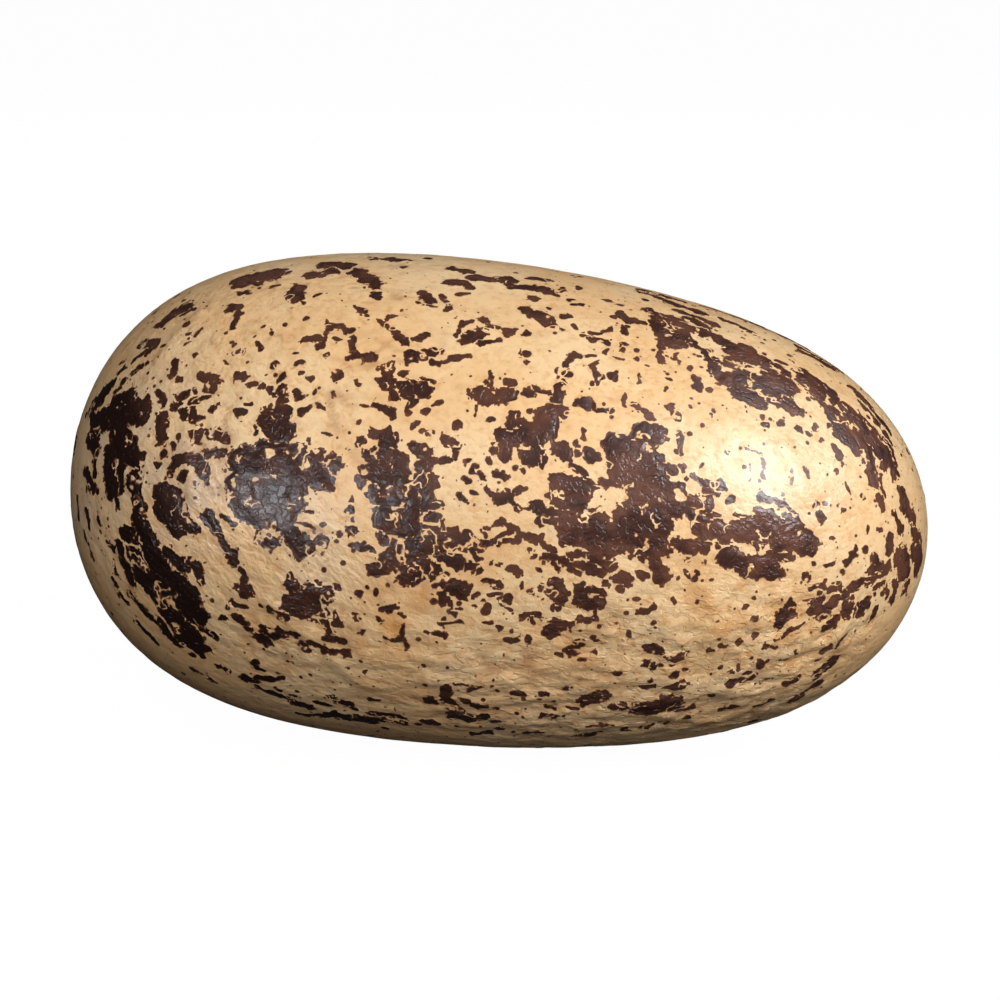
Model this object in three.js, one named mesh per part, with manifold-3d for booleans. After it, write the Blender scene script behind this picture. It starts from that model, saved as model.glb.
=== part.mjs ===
// A fossil theropod egg: one solid of stone and shell, lying on its side on a small flat spot.
// Millimetres, +Z up. +X points to the narrow end and -Y to the front of the egg.
// The origin is at the middle of the egg's length and width, on the surface that it rests on.

import * as THREE from "three";
import { mergeVertices } from "three/addons/utils/BufferGeometryUtils.js";
import Module from "manifold-3d";

// Driving dimensions
const LENGTH = 180; // from the blunt end to the narrow end, along the egg's own axis
const BREADTH = 101; // across the middle station, at right angles to the axis
const REST_TILT = 2.9; // degrees that the narrow end dips when the egg lies in balance
const FLAT_DEPTH = 0.6; // thickness worn away at the flat spot

// The outline departs from an ellipse by these shares of its half breadth at the narrow end
const TAPER = 0.097; // makes the narrow half slimmer and the blunt half fuller
const FULLNESS = 0.252; // fills out both ends
const NARROW_TRIM = 0.022; // takes a little back from the narrow end alone

// Squares on each side of the grid, along the egg and across it
const GRID_ALONG = 40;
const GRID_ACROSS = 23;

// Where things are on the shell: station is along the axis from the egg's middle, towards the
// narrow end, and turn is in degrees round the axis, from the top (0) over the front (90).

// Broad swellings (rise above 0) and dents (below 0), which fade out over their spread
const SWELLS = [
  { station: -66, turn: 70, spread: 20, rise: 0.45 },
  { station: -44, turn: 118, spread: 17, rise: -0.55 },
  { station: -40, turn: 40, spread: 19, rise: 0.4 },
  { station: -18, turn: 82, spread: 18, rise: -0.45 },
  { station: 6, turn: 60, spread: 22, rise: 0.5 },
  { station: 24, turn: 108, spread: 16, rise: -0.5 },
  { station: 48, turn: 74, spread: 17, rise: 0.55 },
  { station: 66, turn: 112, spread: 15, rise: -0.45 },
  { station: 40, turn: 20, spread: 20, rise: -0.4 },
  { station: -8, turn: 4, spread: 24, rise: 0.4 },
  { station: 8, turn: 136, spread: 18, rise: 0.4 },
  { station: -70, turn: 215, spread: 19, rise: -0.45 },
  { station: -34, turn: 250, spread: 22, rise: 0.5 },
  { station: -2, turn: 285, spread: 20, rise: -0.5 },
  { station: 30, turn: 240, spread: 19, rise: 0.45 },
  { station: 58, turn: 290, spread: 18, rise: -0.45 },
  { station: 14, turn: 325, spread: 18, rise: 0.4 },
  { station: -50, turn: 320, spread: 18, rise: -0.4 },
];

// Ledges where a layer of the shell ends: each falls off steeply on one side and fades on the other
const LEDGES = [
  { from: { station: 60, turn: 112 }, to: { station: 77, turn: 114 }, fade: 5, rise: 0.7 },
  { from: { station: 50, turn: 127 }, to: { station: 70, turn: 130 }, fade: 5, rise: 0.65 },
  { from: { station: 27, turn: 96 }, to: { station: 46, turn: 101 }, fade: 4, rise: 0.6 },
  { from: { station: 22, turn: 116 }, to: { station: 46, turn: 121 }, fade: 5, rise: 0.6 },
  { from: { station: 48, turn: 90 }, to: { station: 52, turn: 107 }, fade: 4, rise: 0.6 },
  { from: { station: 18, turn: 134 }, to: { station: 52, turn: 139 }, fade: 6, rise: 0.65 },
  { from: { station: -22, turn: 112 }, to: { station: 6, turn: 119 }, fade: 5, rise: 0.55 },
  { from: { station: -38, turn: 101 }, to: { station: -12, turn: 127 }, fade: 5, rise: 0.6 },
  { from: { station: -56, turn: 62 }, to: { station: -52, turn: 82 }, fade: 4, rise: 0.65 },
  { from: { station: -64, turn: 88 }, to: { station: -46, turn: 110 }, fade: 5, rise: 0.6 },
  { from: { station: -56, turn: 20 }, to: { station: -68, turn: 50 }, fade: 6, rise: 0.5 },
  { from: { station: 58, turn: 44 }, to: { station: 66, turn: 66 }, fade: 5, rise: 0.5 },
  { from: { station: -40, turn: 196 }, to: { station: -8, turn: 204 }, fade: 6, rise: 0.6 },
  { from: { station: 10, turn: 214 }, to: { station: 44, turn: 224 }, fade: 5, rise: 0.65 },
  { from: { station: -64, turn: 250 }, to: { station: -40, turn: 276 }, fade: 6, rise: 0.6 },
  { from: { station: -24, turn: 262 }, to: { station: 4, turn: 254 }, fade: 5, rise: 0.6 },
  { from: { station: 24, turn: 286 }, to: { station: 54, turn: 272 }, fade: 6, rise: 0.6 },
  { from: { station: -20, turn: 318 }, to: { station: 14, turn: 330 }, fade: 6, rise: 0.5 },
];
const LEDGE_DROP = 2; // a ledge's height falls to a third over this distance on its steep side
const LEDGE_REACH = 14; // a ledge raises no shell that is much further above or below its own level

// Half the egg's width at a station, given as a share of half its length from -1 to 1
function halfWidth(share) {
  const filled = 1 - TAPER * share + FULLNESS * share ** 2 - NARROW_TRIM * share ** 3;
  return (BREADTH / 2) * Math.sqrt(Math.max(0, 1 - share ** 2)) * filled;
}

// The point of the smooth egg that lies at a station and turn
function shellPoint({ station, turn }) {
  const radius = halfWidth(station / (LENGTH / 2));
  const angle = THREE.MathUtils.degToRad(turn);
  return new THREE.Vector3(station, -radius * Math.sin(angle), radius * Math.cos(angle));
}

// The way out of the shell at a point, taken from the ellipsoid of the same length and breadth
function outward(point) {
  const long = (LENGTH / 2) ** 2;
  const round = (BREADTH / 2) ** 2;
  return new THREE.Vector3(point.x / long, point.y / round, point.z / round).normalize();
}

// Where each swell stands, and each ledge's start, length and its three directions
const swells = SWELLS.map((swell) => ({ ...swell, middle: shellPoint(swell) }));
const ledges = LEDGES.map(({ from, to, fade, rise }) => {
  const start = shellPoint(from);
  const run = shellPoint(to).sub(start);
  const along = run.clone().normalize();
  const out = outward(start.clone().addScaledVector(run, 0.5));
  const across = new THREE.Vector3().crossVectors(out, along).normalize();
  return { start, length: run.length(), along, out, across, fade, rise };
});

// A swell's height at a point: a bell that fades with the distance from its middle
function swellHeight(swell, point) {
  return swell.rise * Math.exp(-((point.distanceTo(swell.middle) / swell.spread) ** 2));
}

// A ledge's height at a point: full along its middle, steep on one side and long on the other
function ledgeHeight(ledge, point) {
  const offset = point.clone().sub(ledge.start);
  const share = offset.dot(ledge.along) / ledge.length;
  const aside = offset.dot(ledge.across);
  const depth = offset.dot(ledge.out) / LEDGE_REACH;
  const lengthwise = Math.exp(-((2.2 * (share - 0.5)) ** 4));
  const sideways = aside > 0 ? Math.exp(-aside / ledge.fade) : Math.exp(aside / LEDGE_DROP);
  return ledge.rise * lengthwise * sideways * Math.exp(-(depth ** 2));
}

// Raises or lowers a point of the smooth egg by all the swells and ledges near it
function weathered(point) {
  let height = 0;
  for (const swell of swells) height += swellHeight(swell, point);
  for (const ledge of ledges) height += ledgeHeight(ledge, point);
  return point.clone().addScaledVector(outward(point), height);
}

// The egg's skin: a box's grid drawn round onto a ball, then drawn out to the egg's outline.
// The tangent spreads the grid evenly over the ball.
function eggSkin() {
  const grid = new THREE.BoxGeometry(2, 2, 2, GRID_ALONG, GRID_ACROSS, GRID_ACROSS);
  const places = grid.getAttribute("position");
  const point = new THREE.Vector3();
  const spread = (value) => Math.tan((value * Math.PI) / 4);
  for (let i = 0; i < places.count; i++) {
    point.fromBufferAttribute(places, i);
    point.set(spread(point.x), spread(point.y), spread(point.z)).normalize();
    const radius = halfWidth(point.x) / Math.max(1e-9, Math.hypot(point.y, point.z));
    point.set((point.x * LENGTH) / 2, point.y * radius, point.z * radius);
    const placed = weathered(point);
    places.setXYZ(i, placed.x, placed.y, placed.z);
  }
  grid.deleteAttribute("normal");
  grid.deleteAttribute("uv");
  return mergeVertices(grid, 1e-4);
}

const wasm = await Module();
wasm.setup();

// A closed geometry as a solid that can be cut
function solidOf(geometry) {
  const vertProperties = new Float32Array(geometry.getAttribute("position").array);
  const triVerts = new Uint32Array(geometry.index.array);
  return new wasm.Manifold(new wasm.Mesh({ numProp: 3, vertProperties, triVerts }));
}

// A solid back as a geometry with flat facets
function geometryOf(solid) {
  const { numProp, vertProperties, triVerts } = solid.getMesh();
  const geometry = new THREE.BufferGeometry();
  const places = new Float32Array((vertProperties.length / numProp) * 3);
  for (let i = 0; i * 3 < places.length; i++) {
    places.set(vertProperties.subarray(i * numProp, i * numProp + 3), i * 3);
  }
  geometry.setAttribute("position", new THREE.BufferAttribute(places, 3));
  geometry.setIndex(new THREE.BufferAttribute(new Uint32Array(triVerts), 1));
  const facets = geometry.toNonIndexed();
  facets.computeVertexNormals();
  return facets;
}

// The egg tipped to its balance, lowered until the flat spot's depth is under z = 0, and cut there
function restingEgg() {
  const skin = eggSkin();
  skin.rotateY(THREE.MathUtils.degToRad(REST_TILT));
  skin.computeBoundingBox();
  const { min, max } = skin.boundingBox;
  skin.translate(-(min.x + max.x) / 2, -(min.y + max.y) / 2, -min.z - FLAT_DEPTH);
  const ground = new THREE.BoxGeometry(2 * LENGTH, 2 * LENGTH, LENGTH);
  ground.translate(0, 0, -LENGTH / 2);
  ground.deleteAttribute("normal");
  ground.deleteAttribute("uv");
  return geometryOf(solidOf(skin).subtract(solidOf(mergeVertices(ground, 1e-4))));
}

const shellFinish = new THREE.MeshStandardMaterial({
  color: 0xdcbd8f,
  roughness: 0.45,
  metalness: 0,
});

const egg = new THREE.Mesh(restingEgg(), shellFinish);
egg.name = "egg";

const part = new THREE.Group();
part.add(egg);

export default part;
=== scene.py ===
"""A fossil theropod egg lying on its side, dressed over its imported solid.

The shell is one fine surface. It has the outline and the weathering of the solid, with the shell's
wrinkles, flakes and pits on top, and it carries its markings as mesh attributes that its finish reads.

Lengths are millimetres until a mesh is made, and the mesh is in the frame's metres. A place on the
shell is a station, along the egg's axis from its middle towards the narrow end, and a turn, in degrees
round the axis from the top (0) over the front (90).
"""

from __future__ import annotations

import itertools
import logging
import math
from collections.abc import Callable
from dataclasses import dataclass, field
from enum import Enum

import bpy
import numpy as np
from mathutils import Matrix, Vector

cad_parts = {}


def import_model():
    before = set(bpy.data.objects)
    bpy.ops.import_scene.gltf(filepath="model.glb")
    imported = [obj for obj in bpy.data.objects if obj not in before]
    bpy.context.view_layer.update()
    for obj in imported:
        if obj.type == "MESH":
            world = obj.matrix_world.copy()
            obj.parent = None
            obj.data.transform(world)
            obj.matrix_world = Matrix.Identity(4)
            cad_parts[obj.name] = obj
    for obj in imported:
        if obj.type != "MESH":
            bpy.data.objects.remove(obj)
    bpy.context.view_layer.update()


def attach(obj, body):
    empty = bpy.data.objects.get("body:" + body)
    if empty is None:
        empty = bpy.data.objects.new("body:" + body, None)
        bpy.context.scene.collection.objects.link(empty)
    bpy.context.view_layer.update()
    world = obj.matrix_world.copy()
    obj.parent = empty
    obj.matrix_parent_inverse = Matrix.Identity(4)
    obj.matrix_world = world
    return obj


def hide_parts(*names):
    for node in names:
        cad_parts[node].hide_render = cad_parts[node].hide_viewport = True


Array = np.ndarray
Socket = bpy.types.NodeSocket

MM = 0.001
LOG = logging.getLogger("egg")


class Layer(Enum):
    """What the shell's mesh says about its points and squares, by the name of the attribute."""

    PLACE = "place"
    INNER = "inner"
    SPECKLE = "speckle"
    STAIN = "stain"
    CHALK = "chalk"
    FLAKE = "flake"
    FOLD = "fold"
    CREASE = "crease"
    # Where the marking is darkened: painted shade along the bottom and round the blunt end, and darker
    # marking in a few other places
    SHADE_AND_DARK_MARKING = "shade_and_dark_marking"
    BLOT_START = "blot_start"
    BLOT_RUN = "blot_run"
    BLOT_HALF = "blot_half"
    GAP_MIDDLE = "gap_middle"
    GAP_HALF = "gap_half"


class Grain(Enum):
    """Which way the shell's wrinkles run: the slope of their length on the front, in degrees."""

    FALLING = -38.0
    LENGTHWISE = -4.0


def smooth_step(value: Array, low: float, high: float) -> Array:
    """A soft switch: 0 under low, 1 over high, and three squares less two cubes of the share between."""
    share = np.clip((value - low) / (high - low), 0.0, 1.0)
    return share * share * (3.0 - 2.0 * share)


class GradientNoise:
    """Smooth noise in space, the same each run: random slopes on a lattice, blended in between."""

    def __init__(self, seed: int) -> None:
        """Draws the lattice's order and slopes.

        Args:
            seed: a number that picks one noise out of many.
        """
        draw = np.random.default_rng(seed)
        self.order = draw.permutation(256)
        slopes = draw.normal(size=(256, 3))
        self.slopes = slopes / np.linalg.norm(slopes, axis=1, keepdims=True)

    def __call__(self, points: Array) -> Array:
        """The noise at some points.

        Formula: at each of the eight corners of a point's cell, the corner's slope times the way to
        the point. The eight are blended by a curve that is level at both ends.

        Args:
            points: one row of three numbers each, in cells.

        Returns:
            One value each, mostly between -0.6 and 0.6.
        """
        cell = np.floor(points).astype(int)
        part = points - cell
        blend = part**3 * (part * (part * 6.0 - 15.0) + 10.0)
        total = np.zeros(len(points))
        for corner in itertools.product((0, 1), repeat=3):
            x, y, z = ((cell + corner) & 255).T
            slope = self.slopes[self.order[(self.order[(self.order[x] + y) & 255] + z) & 255]]
            share = np.prod(np.where(corner, blend, 1.0 - blend), axis=1)
            total += share * ((part - corner) * slope).sum(axis=1)
        return total

    def layered(self, points: Array, octaves: int, keep: float = 0.5) -> Array:
        """The noise with finer noise on it, each octave half as wide and keep times as high.

        Args:
            points: one row of three numbers each, in cells.
            octaves: how many noises are added up.
            keep: the height of each as a share of the one before.

        Returns:
            One value each.
        """
        total = np.zeros(len(points))
        for octave in range(octaves):
            total += keep**octave * self(points * 2.0**octave + 17.3 * octave)
        return total


@dataclass(frozen=True)
class Outline:
    """The egg's smooth shape: round at each station, with a half width that follows a formula."""

    length: float = 180.0
    breadth: float = 101.0
    taper: float = 0.097
    fullness: float = 0.252
    narrow_trim: float = 0.022

    def half_width(self, share: Array) -> Array:
        """Half the egg's width.

        Formula: half the breadth, times the root of one less the share squared, times one less
        taper shares, plus fullness squared shares, less trim cubed shares.

        Args:
            share: the station as a share of half the length, from -1 to 1.

        Returns:
            The half width at each share.
        """
        filled = 1.0 - self.taper * share + self.fullness * share**2 - self.narrow_trim * share**3
        return self.breadth / 2.0 * np.sqrt(np.maximum(0.0, 1.0 - share**2)) * filled

    def point(self, station: float, turn: float) -> Array:
        """The point of the smooth shell at a station and a turn.

        Formula: the turn's sine and cosine, times the half width at the station.

        Args:
            station: along the axis from the egg's middle.
            turn: degrees round the axis from the top.

        Returns:
            The point.
        """
        radius = float(self.half_width(np.float64(station / (self.length / 2.0))))
        angle = math.radians(turn)
        return np.array([station, -radius * math.sin(angle), radius * math.cos(angle)])

    def outward(self, points: Array) -> Array:
        """The way out of the shell at points, from the ellipsoid of the same length and breadth."""
        slopes = points / np.array([self.length, self.breadth, self.breadth]) ** 2
        return slopes / np.linalg.norm(slopes, axis=-1, keepdims=True)

    def skin(self, along: int, across: int) -> tuple[Array, Array]:
        """The smooth shell as a closed grid.

        Formula: a box's grid, spread by the tangent, is drawn in to a ball, and the ball's points
        are drawn out to the half width of their station.

        Args:
            along: squares on the box's sides along the egg.
            across: squares on its sides across the egg.

        Returns:
            The points, and the squares as rows of four numbers of points.
        """
        counts = (along, across, across)
        points, squares, made = [], [], 0
        for side, sign in itertools.product(range(3), (1.0, -1.0)):
            first, second = (side + 1) % 3, (side + 2) % 3
            if sign < 0.0:
                first, second = second, first
            wide, high = counts[first] + 1, counts[second] + 1
            sheet = np.empty((wide, high, 3))
            sheet[..., side] = sign
            sheet[..., first] = np.linspace(-1.0, 1.0, wide)[:, None]
            sheet[..., second] = np.linspace(-1.0, 1.0, high)[None, :]
            number = made + np.arange(wide * high).reshape(wide, high)
            corners = (number[:-1, :-1], number[1:, :-1], number[1:, 1:], number[:-1, 1:])
            squares.append(np.stack(corners, axis=-1).reshape(-1, 4))
            points.append(sheet.reshape(-1, 3))
            made += wide * high
        box, where = np.unique(np.round(np.concatenate(points), 9), axis=0, return_inverse=True)
        ball = np.tan(box * math.pi / 4.0)
        ball /= np.linalg.norm(ball, axis=1, keepdims=True)
        reach = self.half_width(ball[:, 0]) / np.maximum(1e-9, np.hypot(ball[:, 1], ball[:, 2]))
        stations = ball[:, 0] * self.length / 2.0
        shell = np.stack([stations, ball[:, 1] * reach, ball[:, 2] * reach], axis=1)
        return shell, where.reshape(-1)[np.concatenate(squares)]


@dataclass(frozen=True)
class Swell:
    """A broad swelling of the shell, or a dent where its rise is under 0."""

    station: float
    turn: float
    spread: float
    rise: float

    def height(self, outline: Outline, points: Array) -> Array:
        """A bell: the rise times e to the less squared distance over the spread."""
        away = np.linalg.norm(points - outline.point(self.station, self.turn), axis=1)
        return self.rise * np.exp(-((away / self.spread) ** 2))


@dataclass(frozen=True)
class Ledge:
    """An edge where a layer of the shell ends, steep on one side and faded on the other.

    Its ends die sooner with a larger taper.
    """

    station: float
    turn: float
    to_station: float
    to_turn: float
    fade: float
    rise: float
    drop: float = 2.0
    reach: float = 14.0
    taper: float = 2.2

    def height(self, outline: Outline, points: Array) -> Array:
        """The ledge's height at points.

        Formula: full along the middle of its run, and dying as the fourth power at its ends. To one
        side it falls by e over the fade, and to the other by e over the drop. Across the egg's
        thickness it dies as a bell of the reach, so that it stays on its own side of the egg.

        Args:
            outline: the shape that it lies on.
            points: points of the smooth shell.

        Returns:
            One height each.
        """
        start = outline.point(self.station, self.turn)
        run = outline.point(self.to_station, self.to_turn) - start
        along = run / np.linalg.norm(run)
        out = outline.outward(start + run / 2.0)
        across = np.cross(out, along)
        offset = points - start
        share = offset @ along / np.linalg.norm(run)
        aside = offset @ (across / np.linalg.norm(across))
        lengthwise = np.exp(-((self.taper * (share - 0.5)) ** 4))
        sideways = np.exp(np.where(aside > 0.0, -aside / self.fade, aside / self.drop))
        return self.rise * lengthwise * sideways * np.exp(-((offset @ out / self.reach) ** 2))


@dataclass(frozen=True)
class Blot:
    """A stroke of the brown marking, round at its ends: from one place to another, half_width thick."""

    station: float
    turn: float
    to_station: float
    to_turn: float
    half_width: float


@dataclass(frozen=True)
class LaidBlots:
    """Blots laid on the shell: where each starts, how it runs, and its half width, one row each."""

    starts: Array
    runs: Array
    halves: Array
    reach: float = 4.0

    def depth(self, number: int, places: Array) -> Array:
        """How far inside one blot places lie: its half width less the distance to its middle line.

        Args:
            number: the blot's row.
            places: points of the shell.

        Returns:
            One depth each, under 0 outside the blot.
        """
        start, run = self.starts[number], self.runs[number]
        offset = places - start
        share = np.clip(offset @ run / max(1e-9, float(run @ run)), 0.0, 1.0)
        return self.halves[number] - np.linalg.norm(offset - share[:, None] * run, axis=1)

    def deepest(self, places: Array) -> tuple[Array, Array]:
        """The blot that each place lies deepest in, or else the nearest one.

        Args:
            places: points of the shell.

        Returns:
            The blot's number for each place, and how deep the place lies in it.
        """
        which = np.zeros(len(places), int)
        depth = np.full(len(places), -self.reach)
        for number, half in enumerate(self.halves):
            stations = sorted((self.starts[number, 0], self.starts[number, 0] + self.runs[number, 0]))
            low, high = stations[0] - self.reach - half, stations[1] + self.reach + half
            near = np.flatnonzero((places[:, 0] > low) & (places[:, 0] < high))
            here = self.depth(number, places[near])
            deeper = here > depth[near]
            which[near[deeper]] = number
            depth[near[deeper]] = here[deeper]
        return which, depth


@dataclass(frozen=True)
class Area:
    """A round area of the shell that has more of something, such as specks or stain."""

    station: float
    turn: float
    spread: float
    amount: float

    def strength(self, outline: Outline, points: Array) -> Array:
        """A bell: the amount times e to the less squared distance over the spread."""
        away = np.linalg.norm(points - outline.point(self.station, self.turn), axis=1)
        return self.amount * np.exp(-((away / self.spread) ** 2))


@dataclass(frozen=True)
class Wrinkles:
    """Long low folds of the shell, and the fine cracks that run beside them."""

    grain: Grain
    length: float
    width: float
    height: float
    seed: int
    crack_width: float = 0.07
    crack_stretch: float = 0.8
    break_cell: float = 9.0

    def cells(self, points: Array) -> Array:
        """Points as cells of noise that are drawn out along the grain.

        Formula: each point's part along the grain over the length, and its parts across over the width.

        Args:
            points: points of the shell.

        Returns:
            One row of three numbers each, in cells.
        """
        slope = math.radians(self.grain.value)
        along = points @ np.array([math.cos(slope), 0.0, math.sin(slope)])
        upward = points @ np.array([-math.sin(slope), 0.0, math.cos(slope)])
        return np.stack([along / self.length, upward / self.width, points[:, 1] / self.width], axis=1)

    def folds(self, points: Array) -> Array:
        """The folds' height: the noise in those cells, with one finer layer on it."""
        return self.height * GradientNoise(self.seed).layered(self.cells(points), 2)

    def cracks(self, points: Array) -> Array:
        """Where the cracks are: a narrow bell round the noise's zeros, broken in places.

        Args:
            points: points of the shell.

        Returns:
            A share each, from 0 to 1.
        """
        level = GradientNoise(self.seed + 1)(self.cells(points) * self.crack_stretch)
        broken = smooth_step(GradientNoise(self.seed + 2)(points / self.break_cell), -0.05, 0.2)
        return np.exp(-((level / self.crack_width) ** 2)) * broken


@dataclass(frozen=True)
class Flakes:
    """Thin layers of the shell that have come away in steps."""

    length: float
    width: float
    step: float
    steps: float
    seed: int
    flat_share: float = 0.78

    def rise(self, points: Array) -> Array:
        """The steps' height: noise rounded down to whole steps, with a short steep rise between two.

        Args:
            points: points of the shell.

        Returns:
            One height each.
        """
        cells = points / np.array([self.length, self.width, self.width])
        level = GradientNoise(self.seed).layered(cells, octaves=3, keep=0.45) * self.steps
        whole = np.floor(level)
        return self.step * (whole + smooth_step(level - whole, self.flat_share, 1.0))


def strokes(*rows: tuple[float, ...]) -> tuple[Blot, ...]:
    """Blots from rows of numbers.

    Args:
        rows: a dot as station, turn, half width, or a stroke as station, turn, to station, to turn,
            half width.

    Returns:
        One blot for each row.
    """
    return tuple(Blot(*(row if len(row) == 5 else row[:2] + row)) for row in rows)


# The marking of the front, read one by one, one group for each part of the shell
BLUNT_TOP = strokes(
    (-51.5, 13, -47, 13, 3.8), (-55, 13.5, 1.2), (-43.5, 12, 1.0), (-40.1, 20.8, -39.7, 25.3, 1.75),
    (-52.3, 26.8, -50.6, 27.3, 0.9), (-50.4, 27.5, -50, 30, 0.9), (-50, 30, -50.3, 35, 0.75),
    (-67.5, 25, -64, 21.5, 2.0), (-63.5, 25, -61.2, 23.8, 0.8), (-59.4, 22, 0.5), (-71.5, 32, -67, 35, 1.4),
    (-69, 36.5, -67, 35.5, 0.8), (-64.8, 37, 0.5), (-71.5, 38, -69, 37.5, 0.7),
    (-75.2, 40.5, -74, 39.5, 0.7), (-70.8, 43.5, -69, 42, 0.9), (-68.1, 41.6, 0.5), (-67, 45.5, 0.4),
    (-73.5, 47.7, 0.7), (-68.7, 51.5, 0.5), (-75, 35, 1), (-61.2, 43.5, -60.9, 46.5, 0.9), (-59.2, 49, 1.0),
    (-54.5, 49.5, -51, 50, 1.0), (-52.5, 51.3, -51.8, 52.5, 1.3), (-51, 50.5, 1.1), (-46.4, 49.3, 1.3),
    (-43.8, 51.2, -43, 51.2, 0.9), (-41, 51.5, 0.8), (-39.5, 52.5, -39, 53.5, 0.9),
    (-37.3, 52.3, -36.8, 55.5, 1.1), (-40, 57.3, -37, 57.5, 1.1), (-37.5, 57, -36, 57.5, 1.5),
    (-34.2, 38.7, -32.3, 38.5, 0.95), (-33.4, 54.2, 1.1), (-32.8, 57.2, -31.5, 56.5, 1.0),
    (-45, 58.2, 1.15), (-55.2, 53, 0.7), (-58, 54.5, -56.5, 52.8, 0.6), (-63.3, 52.5, -61.5, 55.5, 0.85),
    (-59.3, 57.5, 1.1), (-66, 54.5, 1.3), (-37.1, 27.3, 0.5), (-35.4, 24.8, -34.4, 23.6, 0.45),
    (-51.7, 21.8, -50.6, 21, 0.55), (-49.3, 21.5, 0.4), (-45.5, 19.8, -44, 19, 0.4), (-41.8, 37.3, 0.5),
    (-43.9, 35.2, 0.4), (-44.3, 39.8, -43, 42, 0.5), (-48, 42.6, 0.5), (-46.6, 42.4, 0.65),
    (-49.2, 40.8, 0.35), (-45, 38.2, 0.35), (-49.8, 45.4, 0.4), (-58.3, 36, -57.2, 33.8, 0.4),
    (-60, 34.8, 0.5), (-60.2, 38.5, -59.3, 38, 0.35), (-40.1, 46.6, -39.3, 45.4, 0.5),
    (-37.9, 50, -36.9, 48.8, 0.45), (-40.8, 48.8, 0.35), (-35.8, 43, 0.5), (-35.2, 45.6, -34.2, 45, 0.5),
    (-33.9, 47.8, 0.5), (-32.2, 49.4, -31.4, 49.2, 0.6), (-30.3, 52.3, 0.6), (-26.9, 52.6, 0.55),
    (-28.9, 55.9, 0.75), (-29.7, 43.2, 0.5), (-30.1, 63.9, 0.5), (-27.8, 61.8, -26.8, 61.9, 0.35),
    (-43.9, 56.4, -42.7, 56.2, 0.5), (-51, 57.8, 0.9), (-49.6, 56.2, 0.4), (-57.2, 58, -56.4, 58.8, 1.1),
    (-55, 57.8, -54.5, 60, 0.9), (-53.5, 60, -52.5, 59.6, 0.6), (-54.2, 60.8, -53.5, 61.2, 0.5),
    (-55.9, 55.7, -54, 55.2, 0.7), (-54, 55, -51.9, 54.2, 0.6), (-58.2, 56, 0.65),
)
BLUNT_END = strokes(
    (-78, 58, -66, 58, 3), (-74, 53, -70, 52, 2), (-80, 50, -77, 45, 2), (-81, 48, -79, 58, 2),
    (-61.4, 59.5, -60.9, 65, 1.25), (-62.6, 58.7, 0.5), (-53.6, 64.2, 1.6), (-72, 63, -68, 68, 2.8),
    (-69, 69, -66, 71, 2.1), (-73, 69, -71.5, 79, 2.4), (-70, 73, -69.5, 80, 1.3), (-77, 72, -77, 77, 0.9),
    (-77, 62, -77, 66, 0.8), (-80, 62, -77, 68, 1.8), (-79.5, 76, -77, 81, 1.4), (-66, 77, -64.5, 83, 2.0),
    (-58.5, 79, -57, 84, 2.9), (-56.5, 78, -51.7, 86.5, 1.2), (-59.5, 84, -56, 87.5, 2.1),
    (-56, 84, -52.8, 86.5, 1.9), (-65, 86, -62, 92, 1.8), (-62, 92, -61, 97, 2.5), (-60, 98, -58, 104, 3.2),
    (-55.5, 103, -52.5, 109, 3.4), (-58, 112, -54, 118, 3.0), (-62, 103, -65, 98, 2),
    (-56, 120, -52.5, 121.5, 1.9), (-46.4, 108.3, 1.0), (-70.5, 78, -70, 84, 1.0),
    (-49.5, 82.5, -47.3, 85.8, 1.25), (-46.5, 87.5, -43.5, 93.5, 1.3), (-42, 95, -41.5, 99.5, 1.0),
    (-37, 110, -31.5, 109.5, 1.5), (-43.8, 107.5, -41.5, 109, 0.7), (-41, 110.5, -37, 114, 0.85),
    (-29.3, 112.5, 1.2), (-43.3, 128, -41, 128.5, 1.3), (-41, 127, -37.5, 126, 1.0),
    (-37.5, 126, -35, 124.7, 0.8), (-41, 122, -39.5, 123, 0.9), (-37, 129.5, -33, 131.5, 0.5),
    (-49.3, 126.3, -47.3, 127.2, 0.8), (-68, 112, -60, 120, 1), (-82.5, 88, -82, 96, 0.9), (-57, 59, 1.0),
    (-49, 63.5, 1.0), (-51.5, 63, -50, 64.3, 0.6), (-47.5, 64.5, 0.7), (-46.5, 65.5, 0.6), (-58, 66.5, 0.9),
    (-57.5, 72, -56, 70.5, 1.2), (-55.5, 74.5, 1.0), (-58, 74, 0.8), (-61, 72, 0.7),
    (-64.5, 71, -64.5, 74, 0.7), (-51.5, 71, -50.5, 74, 0.8), (-50.2, 72, -49.6, 75.5, 0.6),
    (-52.2, 75.5, 0.55), (-52, 79, 0.4), (-68, 91.5, -66, 92, 1.9), (-75.5, 91, -71, 99, 0.8),
    (-69.5, 96, -67, 106, 1.6), (-66, 97, -64, 100, 1.4), (-57.5, 94, -54, 96.5, 1.6),
    (-53, 95, -50.5, 99, 1.2), (-52, 102.5, 1.4), (-65, 104, -60.5, 109, 1.8), (-61, 116, -57.5, 123, 1.3),
    (-51.5, 114, -48.7, 115.3, 0.9), (-43.5, 91, 1.0), (-43, 99, 0.8), (-40.5, 98.5, 0.7),
    (-44, 104, -42.2, 104.3, 1.0), (-45, 105, 0.7), (-36, 104, -32.5, 104.8, 0.8), (-79, 90, -78, 96, 0.7),
    (-80, 100, -77.5, 108, 0.6), (-72, 110, -69, 116, 0.7), (-67, 122, -63, 127, 0.8),
    (-56, 132, -51, 135, 0.6), (-71.5, 103, -70.8, 107, 0.6),
)
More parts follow.
